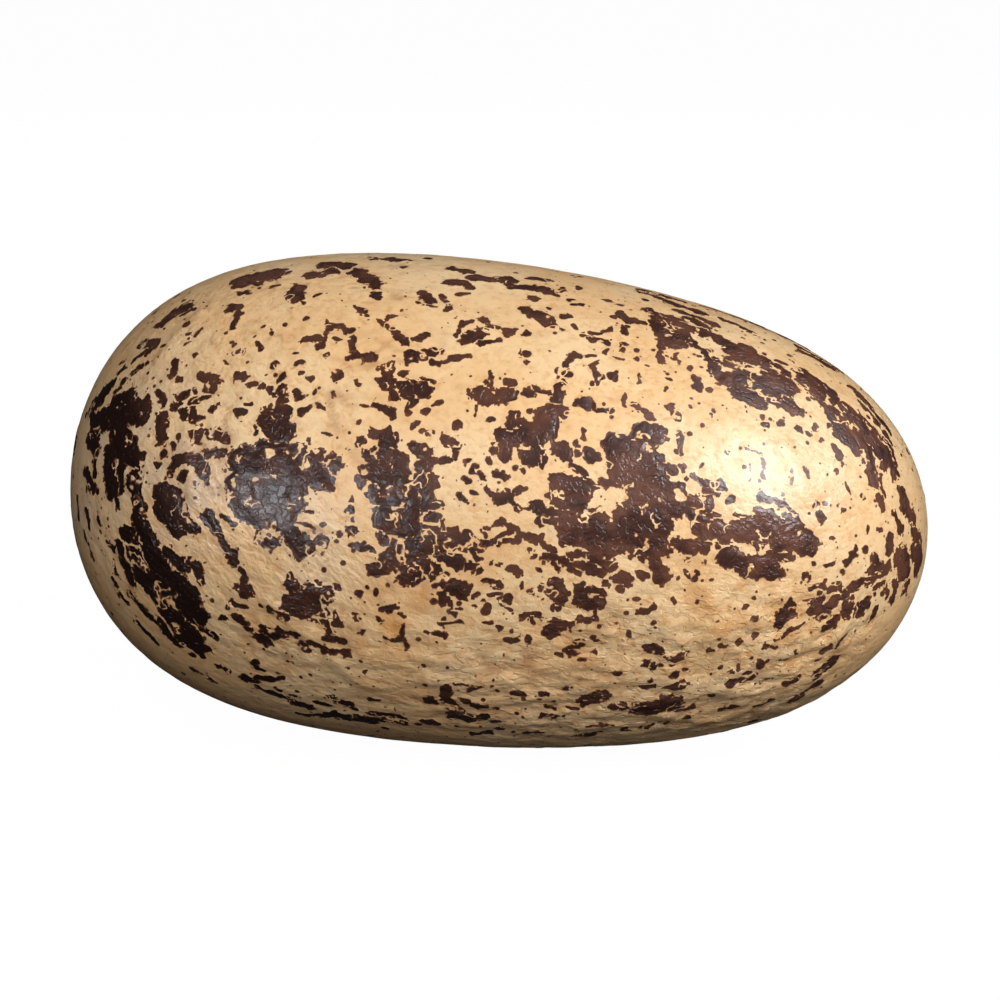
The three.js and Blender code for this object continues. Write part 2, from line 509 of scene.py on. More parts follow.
LEFT_PATCH = strokes(
    (-38.5, 60, -36, 63, 2.7), (-43.5, 69.5, -30, 70, 3.0), (-36, 70.5, -26.5, 71.5, 2.5),
    (-39, 65.5, -31.5, 66, 1.4), (-28.2, 67, 1.6), (-24.2, 68.7, 1.3), (-26.3, 67.5, -24.8, 66.5, 0.6),
    (-24.8, 73.5, 0.9), (-43.8, 75, -32.5, 75.5, 2.6), (-43.3, 77.5, -31.8, 78, 2.6),
    (-42, 80.3, -33.5, 80.8, 2.7), (-46.3, 82.5, -43.5, 84, 0.5), (-31.5, 79.2, -28, 79.5, 0.3),
    (-31, 82, -28, 82.8, 0.3), (-50.5, 68.3, -47, 67.6, 1.1), (-55.5, 70, -51.5, 71.3, 1.2),
    (-38.5, 85.8, -36, 87, 1.4), (-32.5, 84, -30, 88, 1.9), (-30.5, 86, -28, 88, 1.7),
    (-26.8, 85.2, -24.8, 85.6, 0.8), (-41, 61.5, -41, 63, 0.6),
)
TOP = strokes(
    (-36, 8, -32, 8.5, 2.3), (-37, 15, -34, 13, 1.9), (-29, 12, -24, 19, 1.7), (-23, 23.5, 1.4),
    (-27, 3, 1.3), (-24.5, 3, -21.5, 3, 1.5), (-25, 29, 1.1), (-19, 31, 0.9), (-31, 34.5, -26, 36, 0.7),
    (-30, 35, -31, 41, 0.8), (-28, 38.5, 0.8), (-25, 38, -24, 42, 0.9), (-24, 43, -20.5, 42.5, 1.0),
    (-20, 33, -15, 38, 0.8), (-13, 37, -10.5, 35, 0.8), (-13.5, 41.5, -9, 40, 1.4), (-8, 43, -2, 40, 0.8),
    (-7, 39.5, 0.7), (-5, 35, -4.5, 31, 0.7), (-4.5, 31, 0, 28.5, 0.6), (-3, 36, 0, 32.5, 1.3),
    (0.5, 30, 3, 30.5, 0.6), (0, 36, 3.5, 34.5, 0.9), (5, 31, 1.4), (8.8, 31, 0.9),
    (-14, 21, -11.5, 24, 1.2), (-14.5, 25, -10.5, 26, 0.3), (-10, 22, -8, 26.5, 0.8),
    (-9.5, 15, -7, 14.5, 1.6), (-10, 7, -7, 8, 1.4), (-5, 11, 2, 9.5, 1.7), (2, 13, 12, 14, 1.0),
    (-4.5, 17, 0.9), (-7, 20.5, -5, 19.5, 0.6), (8, 18.5, 1.2), (-17, 45, -16.5, 48, 1.2),
    (-17.7, 49, -15.5, 49.5, 1.5), (-13, 50, -9.7, 49.8, 1.8), (-12.5, 51.5, -11, 52.7, 1.3),
    (-15, 51, -14.5, 52.5, 0.8), (-10, 47.5, -7.5, 48, 0.5), (-13.5, 46.5, 0.8), (-18, 54.5, 0.8),
    (-20.4, 55, -16.5, 55.2, 0.35), (-17, 55, -15.2, 55.8, 0.7), (-15, 55.8, -14.4, 56.8, 0.8),
    (-11.8, 54, -11.3, 55.5, 0.5), (-8.2, 54.8, 0.95), (-6.8, 53.5, -5, 52.6, 0.4), (-22.2, 50, 0.9),
    (-26.5, 48.5, 0.8), (-0.3, 49.2, 0.8), (1.5, 49.7, 3, 49.8, 1.6), (3, 44, 4, 48.5, 0.5),
    (2.8, 46.5, 0.7), (5.7, 49, 8, 49.2, 1.7), (6.5, 45.5, 7.8, 47.5, 1.0), (10.3, 47.8, 12, 48.3, 0.7),
    (12.3, 46.9, 15.2, 47.3, 0.45), (1.4, 52.3, 1.6, 54.6, 0.4), (5, 55, 0.6), (-2.2, 57.2, -1, 57.5, 0.75),
    (-8.4, 59.3, -6.3, 59.4, 0.4), (-6.5, 60.3, 0.4), (-10.1, 58.7, -9.2, 57.7, 0.5),
    (-3.8, 60.8, -0.8, 62.3, 0.9), (-3.2, 61.8, -0.8, 62.8, 0.9), (-0.8, 63.5, -1.2, 65, 0.5),
    (5.3, 64.5, 0.7), (-4.9, 66, -2.8, 65.3, 0.9), (-2.8, 65.2, -2, 64.9, 0.6), (1.5, 64.9, 0.45),
    (2.5, 67, 4.9, 68.6, 0.55), (7.4, 67.6, 8.8, 68.1, 0.75), (1.3, 69, 2.1, 69.8, 0.45),
    (2.6, 71.8, 3.6, 72, 0.6), (0.5, 72.5, 1.5, 73.8, 0.5), (12, 66, 0.7), (5.3, 70.8, 7.8, 72.2, 0.55),
    (7.8, 72.3, 10.2, 72, 0.95), (10.2, 71.8, 12.9, 70, 0.6), (8.5, 73.2, 9.4, 73.4, 0.6),
    (10.4, 73, 11.6, 74.6, 0.7), (9.6, 70.5, 10, 71.5, 0.4), (8.8, 57.5, 0.5),
)
MIDDLE_BAND = strokes(
    (-18, 61, -14, 62.5, 1.1), (-15, 61, -14.5, 68, 1.6), (-12.5, 66, -10, 74, 1.8),
    (-13.2, 60.6, -13, 63.8, 0.5), (-18, 69, -13, 70, 1.7), (-20.2, 63.3, 1.0), (-17.2, 64.3, 0.8),
    (-18.5, 66, -16.5, 68, 1.0), (-9, 63, -6, 66, 1.6), (-10.5, 65.5, -9.8, 69, 0.6), (-7, 67, -5, 74, 1.8),
    (-19.6, 70.8, -19, 73, 0.7), (-17, 73, -13.5, 73.6, 0.8), (-17, 74.5, -12, 76, 1.2), (-15.5, 77.5, 0.8),
    (-11.5, 72.3, -10.8, 75, 0.9), (-9.5, 72, -8.5, 79, 1.9), (-14, 80, -9, 81, 2.9),
    (-5.8, 75.5, -3.5, 75, 1.0), (-7.4, 76.2, -6, 76, 0.6), (-8.4, 71, -8, 72.5, 0.5), (-4.7, 78, 1.1),
    (-2.4, 79, -2, 80.2, 0.6), (-5.8, 80.2, -3.2, 80.6, 0.7), (-0.8, 80.7, 3.2, 81.2, 0.9),
    (-6, 84, -3, 84, 2.6), (-2, 82.5, 3, 83, 1.5), (-0.8, 84.5, 2.5, 84.8, 0.5), (-2, 86.5, 1.5, 87, 1.5),
    (3, 84.3, 5, 84.6, 0.5), (4, 85, 5, 86.2, 0.6), (3.8, 88.5, 1.2), (5.2, 89.3, 0.8),
    (-20, 85.8, -16.5, 86, 0.6), (-16.5, 86, -13.8, 87.8, 0.6), (-14.5, 88.3, -11.5, 84, 0.8),
    (-14.3, 82.8, -12.8, 84.5, 0.9), (-16, 91.5, -13, 91, 1.1), (-12, 88, -9, 92, 1.5), (-9.5, 91.5, 1.9),
    (-7.5, 87.5, -5.5, 88.5, 1.1), (-7, 90.5, 1.4), (-5, 88.5, -3, 92, 0.9), (-4.6, 88, -2.6, 90.3, 0.8),
    (-3, 92.5, -1.2, 96.5, 1.1), (-1.5, 92, 2.5, 94, 1.7), (0.2, 94.7, 2.8, 95.8, 0.75),
    (4.2, 95, 5, 94.2, 0.55), (0, 96.8, 0.2, 98.2, 0.5), (-7.6, 93.4, -5.2, 91.9, 0.7),
    (-8.7, 84.5, -8.3, 88.5, 0.8), (-11.7, 85, -11.7, 88.5, 0.7), (-10.3, 85.7, 0.75), (-9.9, 88, 0.5),
)
LOWER_LEFT = strokes(
    (-20, 83, 1.3), (-20.3, 78, 0.8), (-20, 80.5, 0.4), (-20.5, 76, 0.5), (-26, 82, 0.8),
    (-22.7, 85.5, 0.5), (-22.3, 84, 0.5), (-32, 95, -31, 97.5, 1.4), (-31.5, 101, -28, 102, 2.5),
    (-29, 99, -25, 98.5, 2.3), (-28, 96, 0.7), (-26, 95.5, 0.8), (-32, 101, -29, 103, 1.9),
    (-25, 102, -24.5, 107, 1.1), (-22.6, 103.5, -22.4, 105.5, 0.8), (-25, 109, -21.5, 109.5, 0.95),
    (-28.5, 111, -25, 112, 0.8), (-25, 112.5, -20.5, 112.5, 0.8), (-14, 100, -10.5, 98.7, 0.7),
    (-9.5, 101, 0.7), (-13, 107, -9, 107, 0.5), (-9.5, 104, -8.8, 109, 0.5), (-4.5, 105, -1, 105, 0.5),
    (-1.5, 101.5, -1, 106, 0.5), (-2, 102.6, 2, 101.6, 0.45), (-16.5, 95, 0.7), (-18, 97, 0.7),
    (-14.7, 96, 0.7), (-22.3, 96, 0.8), (-18.3, 103, 0.9), (-17.5, 106.5, 0.8), (1.9, 98.5, 0.5),
    (-0.6, 99.3, 0.8, 100, 0.5), (4.8, 97.6, 0.55), (6.3, 95.8, 0.4), (6, 91.3, 8.2, 91.2, 0.6),
    (8, 91, 9.3, 92, 0.6), (8.3, 92.8, 0.4), (7.3, 94.6, 8.7, 94.2, 0.5), (7.6, 97.2, 7.2, 98.8, 0.75),
    (6.6, 101.2, 8.2, 101.3, 0.45), (9.4, 95, 9.8, 96.8, 0.4), (9.5, 102.5, 0.6), (11, 95, 1.1),
    (10.8, 97.5, 0.5), (13.6, 91.8, 0.55), (15.3, 92.9, 0.7), (17, 91.8, 18, 91.5, 0.4),
    (15.6, 99.6, 15.8, 100.6, 0.45), (19.7, 97, 21, 96.6, 0.5), (16.6, 87.7, 0.5), (14.5, 83, 0.45),
    (15.8, 84.7, 0.55), (17.9, 85.4, 0.6), (6.2, 79.5, 9.4, 78, 0.6), (9.4, 77.8, 12, 78.8, 0.7),
    (12, 78.8, 10.8, 80, 0.6), (5.5, 80.2, 6.3, 80.9, 0.45), (5.8, 82.8, 8, 81.8, 0.6),
    (8, 81.5, 9.5, 80.5, 0.5), (9.8, 81.8, 12.5, 81.5, 0.8), (12, 81, 15, 80.6, 0.9), (8.8, 82.6, 0.8),
    (7.8, 87, 9, 87.2, 0.6), (10.8, 87.6, 12.5, 88, 0.65), (13.5, 88.6, 0.4), (10.8, 105.9, 13, 105.2, 0.6),
    (15.3, 105.5, 0.9), (13.8, 99, 17, 99, 0.8), (13.6, 74.3, 15.5, 74.8, 0.6), (15, 74, 20, 74.5, 1.3),
    (-14, 103, 0.5), (-17.5, 117.5, 0.5),
)
BOTTOM = strokes(
    (-41, 131, -34, 133.5, 0.9), (-34, 134, -30.5, 136, 1.2), (-28.5, 132.5, -26.3, 133, 0.8),
    (-24.5, 130, -21.5, 131.5, 1.2), (-21.5, 132, -20.5, 133.5, 0.7), (-34, 141, -27, 139, 0.7),
    (-26.5, 138, -18, 138.5, 1.7), (-17.5, 134, -11, 134.5, 1.1), (-18, 136.5, -11, 137.5, 0.9),
    (-17, 127.5, -15.2, 127.8, 0.6), (-5.2, 125.3, -3.8, 126, 0.8), (-1, 120.5, -1.5, 124, 1.4),
    (-0.5, 126, 1, 129.5, 1.2), (0, 131.5, 5, 131.5, 1.7), (3.8, 119.8, 5.3, 119.6, 0.8),
    (1, 119, 4, 119, 0.3), (2.3, 124.5, 6, 126.3, 1.1), (6, 132.5, 8.2, 133, 0.6), (8.5, 137, 0.9),
    (-7, 135, -4, 136, 0.7), (0, 136.5, 0.6), (2.5, 141.5, 6, 139.5, 0.8), (-15, 142, 0.7),
    (22.8, 107.8, 25.2, 106.2, 1.1), (22.9, 109, 24, 108.8, 0.7), (21.5, 109.5, 0.6), (28.1, 108.6, 0.6),
    (28.2, 105, 0.5), (26, 110.5, 0.4), (38.3, 107, 40.5, 108.3, 0.9), (41.2, 108.8, 0.6),
    (42.8, 111, 45, 110, 1.1), (38, 112.3, 39.3, 113.5, 1.0), (40.7, 112.5, 0.4), (43, 113, 0.5),
    (43.6, 116.5, 0.8), (42.6, 120.3, 44.4, 120, 1.1), (37.5, 120, 39.5, 119.5, 0.8), (38.9, 117.8, 0.7),
    (36, 128.5, 40.5, 127, 2.1), (41, 125.5, 43, 126, 2.2), (38, 130.5, 43, 129, 0.9), (33.5, 126.5, 1.1),
    (31.5, 126, 0.7), (25.3, 124.3, 29.5, 123.6, 1.1), (26, 123, 30.5, 122.3, 0.8), (17.5, 121.5, 0.9),
    (12, 121.5, 14, 121.5, 0.7), (22.5, 120, 0.6), (20, 124.5, 0.5), (18.3, 126.5, 20, 127.5, 0.4),
    (17.3, 130, 19.7, 131, 0.6), (26.5, 135, 31, 135, 0.35), (33.3, 138, 1.2), (41.5, 136.5, 0.8),
    (36.5, 138.5, 39, 137.5, 0.35), (44.5, 130.5, 46.8, 130.3, 0.7), (45.8, 134.5, 0.8),
    (31.7, 114.8, 33, 114.5, 0.4), (12.5, 129.5, 0.5), (8.5, 127.5, 0.5), (22.5, 127, 24.5, 127.5, 0.45),
    (14, 139, 17, 138.5, 0.7), (24, 141, 28, 140.5, 0.8),
)
TOP_RIGHT = strokes(
    (3, 13.5, 10.5, 12.5, 1.4), (6, 6.5, 9.5, 6.5, 0.9), (12.8, 10.5, 1.0), (16, 7.5, 1.0), (7.5, 18, 1.0),
    (7.5, 23.5, 12, 25.5, 1.6), (15, 23, 1.1), (15.9, 17, 17.2, 16.4, 0.6), (15, 15, 0.6),
    (13, 26.5, 15.5, 28, 0.3), (17.3, 26, 0.6), (19.7, 27.8, 22.5, 27, 0.6), (22.5, 27, 24.4, 24, 0.55),
    (20.5, 29.3, 22, 29.2, 0.8), (24, 29.2, 0.8), (24.3, 32.5, 1.0), (21, 35, 22.5, 34.5, 0.5),
    (22.5, 37, 24, 41, 0.9), (19, 35.5, 17, 38.5, 0.9), (18, 41.5, 0.8), (15.5, 40.5, 17.5, 43.5, 0.4),
    (8, 37, 9.5, 40, 0.4), (25.5, 17.5, 27.3, 18.8, 1.1), (21.8, 11.2, 24.6, 12.4, 0.7),
    (26.8, 22.8, 27.2, 25, 0.6), (27.5, 28.5, 0.6), (27.5, 30.5, 0.6), (27, 29, 0.5), (30.5, 33, 0.7),
    (27, 39, 27.2, 40.8, 0.5), (31.4, 37.8, 31.9, 40, 0.35), (26.5, 34, 28, 34, 0.3),
    (28.3, 17.5, 30.5, 18, 0.7), (31, 11, 33, 13, 0.8), (30, 11.5, 34, 11.5, 0.8), (33.5, 15, 36, 22, 2.4),
    (35, 24.5, 38.5, 24, 1.6), (37, 20, 2.5), (32.3, 18, 1.3), (35.5, 12.5, 38.5, 14.5, 1.6),
    (38.3, 17, 39.5, 22, 1.1), (34.3, 26, 35, 31, 1.1), (28, -5, 36, -4, 1.3), (33, 1, 41, 3, 1.1),
    (28, -1, 34, 1, 1.0), (36, 6, 44, 9, 0.9), (40, -6, 52, -8, 0.9), (44, 2, 52, 5, 0.8),
    (38, 9.5, 43, 12, 1.1), (42.5, 15, 47.5, 17, 1.7), (40, 20.5, 43, 23.5, 0.8), (43, 24, 46, 26.5, 0.8),
    (44, 22.5, 0.7), (44.5, 27, 47, 31, 1.3), (47.5, 26.5, 1.1), (40.9, 31.8, 0.7), (37.5, 30, 0.5),
    (38, 27.5, 38.8, 31, 0.35), (45, 31.5, 0.7), (42.2, 34.5, 43.3, 38, 0.8), (37, 40.8, 0.55),
    (38.5, 45, 40, 48, 0.7), (31.5, 46.5, 33.5, 47.8, 0.8), (33.3, 48, 34.5, 49, 0.9),
    (29.6, 44, 29.8, 47.5, 0.4), (42, 41.5, 0.35), (42, 44, 0.45), (37.2, 37.2, 0.4), (32.6, 34.3, 0.35),
    (38.4, 34.2, 0.3), (46.5, 43.8, 0.4), (20.5, 48.3, 23.2, 48.8, 1.1), (24.5, 49.6, 26.5, 49.5, 0.65),
    (27.3, 49.3, 0.5),
)
NARROW_TOP = strokes(
    (49, 19, 51.5, 22, 2.6), (50, 16, 55, 19.5, 1.7), (48.5, 25, 1.8), (47, 26.5, 52, 27.5, 0.9),
    (48, 32, 50, 33, 2.0), (50, 35, 55, 37, 2.0), (51, 30, 59, 29, 2.1), (57, 27, 60.5, 27, 2.1),
    (52, 21.5, 57, 23.5, 1.0), (54, 17.5, 60, 21, 0.6), (57, 16.5, 62, 18.5, 0.5), (59, 21.5, 1.0),
    (62.5, 20.5, 66, 23.5, 2.1), (63, 15.5, 68, 18, 1.1), (66, 20, 69, 21.5, 1.0),
    (57.5, 34, 62.5, 35, 1.8), (57.3, 33, 1.0), (61, 31.5, 0.8), (65, 27, 67.5, 27.5, 0.8),
    (52, -7, 62, -9, 1.0), (60, -3, 69, -6, 1.0), (61, 2, 68, -2, 1.2), (69, 23.5, 1.2),
    (69, 29, 71, 34, 2.1), (71, 22, 74.5, 24.5, 1.9), (72, 27, 1.6), (71, 36, 75, 37, 2.3),
    (75, 34, 77, 38, 1.8), (74, 25, 79, 30, 1.8), (76, 30.5, 80, 35, 1.5), (72, 5, 80, 12, 1.0),
    (74, 12, 81, 20, 0.9), (80.5, 30, 82, 37, 1.8), (70, 43, 71.5, 45, 0.8), (77.5, 42, 78.5, 49, 1.5),
    (79.5, 44, 80.3, 51, 0.7), (80, 38, 1.5), (81.5, 36, 1), (75.5, 21, 79, 24, 0.8),
    (79.5, 22, 82, 30, 0.8), (79.5, 55, 80.5, 58, 1.0), (83, 59, 84.2, 66, 1.0), (84, 45, 87, 60, 1.6),
    (87, 62, 88, 70, 1.2), (82.6, 71, 82.8, 79, 0.9), (57, 44, 0.7), (59.5, 41.5, 0.7), (63, 41.5, 0.8),
    (66, 38.5, 0.9), (65, 42, 0.5), (68.8, 35, 0.7), (52.8, 52.5, 56, 53, 0.35), (57, 54.5, 57.5, 60, 0.3),
    (62.2, 56, 62.6, 60, 0.3), (57.3, 65, 0.8), (51.8, 66.5, 0.9), (68, 64, 0.5), (69.3, 63.5, 0.8),
    (68.5, 67, 69.3, 69, 0.6), (70.8, 51, 0.6), (73, 55, 74, 57, 0.4), (76.5, 57.5, 0.7), (73, 64, 0.5),
    (78, 69.5, 0.6), (80.3, 69, 0.8), (54.5, 57, 55, 61, 0.25), (64.8, 54, 65.5, 56.5, 0.3),
)
RIGHT_PATCH = strokes(
    (16.4, 46, 17, 49, 1.05), (15.8, 48.6, 17.3, 49.6, 0.6), (16, 50.5, 18.8, 51.2, 1.0),
    (8.4, 54.2, 8.6, 56.5, 1.1), (7.6, 58.5, 8.6, 62.5, 1.8), (6, 62.3, 0.8), (12, 57.5, 12.5, 62, 2.0),
    (14.8, 52.5, 15.3, 58.5, 2.1), (10.5, 55.5, 13.5, 55.5, 0.9), (10, 59, 14, 60, 2.0),
    (17.3, 53.5, 17.5, 57.5, 0.6), (16, 59, 20.5, 61.5, 1.5), (21.2, 58.8, 0.7), (21.8, 60.8, 0.55),
    (23.8, 60.5, 24.8, 61.8, 1.1), (21.2, 63.5, 24, 65.5, 0.8), (15.8, 63.5, 0.9),
    (22.5, 55, 22.7, 57, 0.45), (33.5, 52.5, 36.3, 52.5, 1.6), (33.5, 55, 36.8, 55.3, 1.7),
    (27.2, 57.3, 34, 57, 1.7), (28.5, 59.5, 36.5, 59, 1.9), (30, 62, 37, 62.3, 2.1),
    (30.5, 65, 38, 65.3, 1.9), (37.8, 58.5, 0.7), (38.5, 61.5, 40.5, 62, 0.9), (38, 64.3, 42, 65.8, 1.3),
    (42, 60.8, 0.6), (40.6, 52.5, 41.5, 57.5, 0.6), (33.5, 68.5, 41, 71, 2.4), (33.5, 72, 39, 73.5, 2.3),
    (38, 70, 42.5, 70.5, 1.4), (31.5, 75, 39, 76.5, 2.2), (18.5, 67, 24.5, 69, 1.9),
    (18.5, 68.5, 20.5, 70, 1.6), (24, 67.3, 30, 66.7, 0.9), (17.5, 71, 19, 72.5, 0.8),
    (20.5, 72, 25, 73, 1.8), (16.5, 76.8, 19, 76.6, 1.0), (22, 76, 30, 78, 2.9), (24, 74.8, 28, 76, 1.8),
    (32, 77.5, 39, 79.5, 2.6), (21, 80.3, 30, 82, 1.8), (32, 81.3, 39.5, 82, 1.6),
    (38.3, 82, 39.6, 87.3, 1.6), (39.7, 87.6, 1.4), (36, 83.8, 0.7), (16.5, 80.5, 18.5, 83, 0.9),
    (17.2, 84.8, 20, 84.5, 0.6), (19, 83, 22, 85.5, 0.9), (21, 85, 25.2, 86.5, 1.0),
    (23, 84, 25, 83.5, 0.8), (19.3, 86, 20.4, 87.2, 0.5), (22.5, 87, 24.8, 87.3, 0.8),
    (26.5, 83.8, 30.5, 86, 1.3), (26, 86.2, 29, 87.2, 1.0), (32.3, 87.8, 33.5, 88.5, 1.3),
    (32.5, 91.3, 0.8), (35.5, 87, 37, 87.8, 0.7), (29.5, 90, 0.8), (44.3, 68.8, 47.3, 68.8, 1.5),
    (44.3, 70.8, 48.5, 71.5, 0.8), (44.5, 72, 47.3, 73, 1.4), (46, 75, 47.2, 77.3, 1.3),
    (41.5, 78.8, 47.3, 79.3, 1.3), (43, 80.7, 45.5, 81, 1.1), (44.3, 62.6, 46, 64, 0.8),
    (46.5, 64, 49.5, 63.5, 1.2), (47, 65.5, 48.5, 66, 0.9), (45.6, 59.2, 0.5), (42.5, 60.5, 0.4),
    (43, 63.3, 0.6), (20, 92, 21.5, 93, 1.9), (21, 94, 21.2, 95, 1.3), (24.5, 91.5, 25.5, 95, 1.3),
    (26, 95, 28.8, 94.8, 1.5), (26.5, 91.8, 29.2, 92.5, 1.0), (25.4, 99.2, 28, 98.8, 0.75),
    (27.9, 97, 27.9, 98.5, 0.4), (20.7, 97, 0.6), (20, 100.5, 23, 101, 1.0), (19, 102.5, 1.6),
    (20.5, 102.3, 22.3, 102, 0.5), (36.5, 97, 39, 95.5, 0.7), (35.5, 93.5, 0.7), (42.5, 93.5, 0.6),
    (34.5, 103, 0.5), (44.5, 82.8, 0.6), (44.8, 87, 0.7), (46.5, 86.3, 0.55), (46.5, 87.8, 0.55),
    (43, 87.8, 0.5), (49.5, 88, 0.4), (48, 83.5, 0.35), (52.9, 71, 55.5, 70.8, 0.5),
)
NARROW_SIDE = strokes(
    (49.5, 75, 55, 74.5, 1.9), (50.5, 77, 55, 76.5, 1.4), (54, 72.8, 58, 73.3, 1.2), (56, 76.7, 1.4),
    (58, 70.8, 64.5, 71.5, 1.7), (59.3, 69.2, 63, 69.2, 0.9), (59, 65.3, 62, 66.2, 0.45),
    (62, 66.2, 64.6, 68.8, 0.45), (59, 73.3, 64, 74, 1.6), (61, 77, 67.5, 79, 2.0), (66, 74.5, 68, 77, 1.6),
    (57, 78.8, 59.5, 77, 0.7), (53, 81.5, 60, 83, 2.2), (55, 84.5, 60.5, 86, 1.7),
    (53, 82.5, 55.5, 86.3, 1.4), (60, 80.8, 64.5, 81.2, 0.9), (67.3, 87.5, 0.8), (71, 84, 72.3, 82.8, 0.5),
    (74.5, 83, 75.7, 80.8, 0.9), (74, 86.5, 0.7), (71.3, 74.5, 0.5), (79.6, 80.5, 80.5, 83.5, 0.9),
    (75.8, 93, 80, 90.7, 1.1), (80.5, 90.5, 82.7, 88, 0.9), (79.5, 88, 82.5, 86, 1.2),
    (68.3, 91.7, 74, 92.3, 0.8), (70, 93.3, 73.3, 93.2, 0.6), (73, 96.5, 75.5, 96.8, 0.7),
    (69, 99, 71, 101.5, 1.5), (70, 97.5, 1.5), (70.5, 101, 73, 99, 1.1), (72, 100.5, 73.5, 98.5, 0.6),
    (71.5, 107.5, 73.5, 106.5, 0.9), (67.5, 95.5, 69.5, 95, 0.5), (75.5, 95, 75.5, 104, 1.3),
    (76.3, 97, 76.5, 103, 0.8), (76, 95, 77.5, 94.5, 0.6), (77.5, 104, 79, 103, 1.8),
    (80.3, 96.5, 82, 94.5, 0.9), (85, 82, 86, 95, 2.6), (88, 78, 3), (88, 72, 88.5, 85, 2.2),
    (88.5, 96, 2.8), (86.5, 106, 1.8), (84.5, 99, 84, 108, 1.2), (82.5, 98, 83, 104, 0.8),
    (81, 108, 80.5, 113, 0.6), (63, 101.5, 65, 97.8, 1.5), (64.4, 99.8, 1.8), (62.5, 108, 67.3, 104, 0.45),
    (60.5, 109.5, 0.9), (62, 110.5, 0.5), (66.2, 113.8, 66.4, 115.5, 0.5), (71.3, 118.5, 72.8, 117.5, 0.6),
    (59.7, 115, 59.8, 117.5, 0.8), (55.5, 107.3, 0.9), (50.2, 108.6, 0.8), (52, 107.4, 0.6),
    (53.4, 121.8, 56, 121, 0.75), (56, 121, 59, 121, 0.6), (58, 99.5, 0.7), (57.8, 93.5, 0.4),
    (56.3, 96, 0.6), (72.3, 105.5, 73.8, 104.5, 0.9), (75.5, 114, 74, 119, 0.45), (70.5, 131, 74, 127, 1.4),
    (66, 142, 71, 138, 1.4), (58, 152, 1.2), (54, 117, 0.6), (57, 118.8, 0.7), (55.5, 115, 0.5),
    (52.3, 115.5, 0.5), (50.6, 125.8, 0.8), (70.5, 122.5, 0.6), (58, 113, 0.4),
    (63.5, 117, 65, 116.7, 0.35), (60.3, 124, 62, 123.5, 0.4), (64.5, 128, 67, 127, 0.6),
    (52, 134, 55, 133.5, 0.7), (59, 137, 62, 136, 0.7),
)
FRONT_BLOTS = (
    BLUNT_TOP + BLUNT_END + LEFT_PATCH + TOP + MIDDLE_BAND + LOWER_LEFT + BOTTOM
    + TOP_RIGHT + NARROW_TOP + RIGHT_PATCH + NARROW_SIDE
)

# Small islands of bare shell inside the patches
FRONT_GAPS = strokes(
    (-37.5, 67.5, 1.0), (-39.7, 73.3, 0.5), (-26.5, 73.3, 0.45), (-33, 79, 0.4), (-44.3, 75, 0.6),
    (-34.3, 66.3, 0.35), (27.5, 69.8, 1.9), (28.7, 72.7, 1.0), (30.4, 68.7, 0.7), (33, 66.2, 0.55),
    (35.5, 72, 0.45), (36.1, 71.1, 0.4), (38.3, 69.3, 0.3), (38.8, 73.3, 0.3), (41.5, 77, 0.9),
    (43.5, 75.7, 1.3), (40.6, 79.8, 0.4), (42.5, 67.9, 1.1), (44.3, 66.8, 0.7), (33.5, 85, 0.8),
    (35.3, 85.2, 0.7), (27, 92.8, 0.45), (53, 78.6, 0.7), (55, 79.8, 0.45), (56.5, 79.7, 0.45),
    (58, 79.2, 0.45), (59.5, 78.6, 0.4), (59.7, 75.3, 0.4), (36.5, 56.8, 0.35), (35.2, 57, 0.35),
)


# The marking of the two tips, where the front's marking and its copies don't reach
TIPS = strokes(
    (-88.5, 95, -87, 125, 2.6), (-86.5, 170, -84.5, 182, 2.8), (-88, 240, -86.5, 262, 2.4),
    (-84.5, 285, -82, 296, 2.4), (-86, 300, 1.6), (-86.5, 335, -85, 350, 1.8), (-87.6, 45, -86, 62, 1.5),
    (-81, 222, -78, 228, 1.9), (-82, 205, 0.9), (-84, 232, 0.8), (-79.5, 252, 1.0), (-83, 262, 0.8),
    (-80, 305, 1.1), (-82, 325, 0.9), (-89.3, 10, 0.9), (-88.9, 300, 0.8), (-87, 205, 1.0),
    (-84, 318, 0.6), (-86, 220, 0.6), (-81, 240, 0.6), (88.3, 210, 87, 240, 2.2),
    (85.5, 250, 83.5, 262, 2.4), (86, 300, 84, 312, 1.8), (81, 285, 78, 292, 2.2), (80, 330, 77, 336, 1.6),
    (84, 225, 0.8), (82, 240, 0.7), (87, 280, 0.9), (79, 262, 0.8), (83, 335, 0.7), (76, 312, 1.0),
    (85, 335, 0.6), (81, 312, 0.7), (88, 258, 0.6), (-85, 146, -82, 158, 2.2), (-80, 172, -76, 178, 2.4),
    (-84, 252, -80, 258, 2.2), (-80, 278, -76, 284, 2.4), (-82, 312, -79, 320, 2.4),
    (-89, 180, -88.4, 230, 1.9), (-80, 340, -77, 345, 1.6), (-81, 190, -79, 198, 1.6), (-82, 268, 1.0),
    (-78, 236, -75, 242, 1.9), (-86.4, 118, -85, 134, 1.9), (-83.5, 243, 1.1), (-76, 262, -74, 266, 1.6),
    (82, 205, 79, 212, 2.0), (78, 240, 75, 246, 2.0), (89, 300, 88.6, 340, 1.2), (75, 272, 72, 276, 1.6),
)


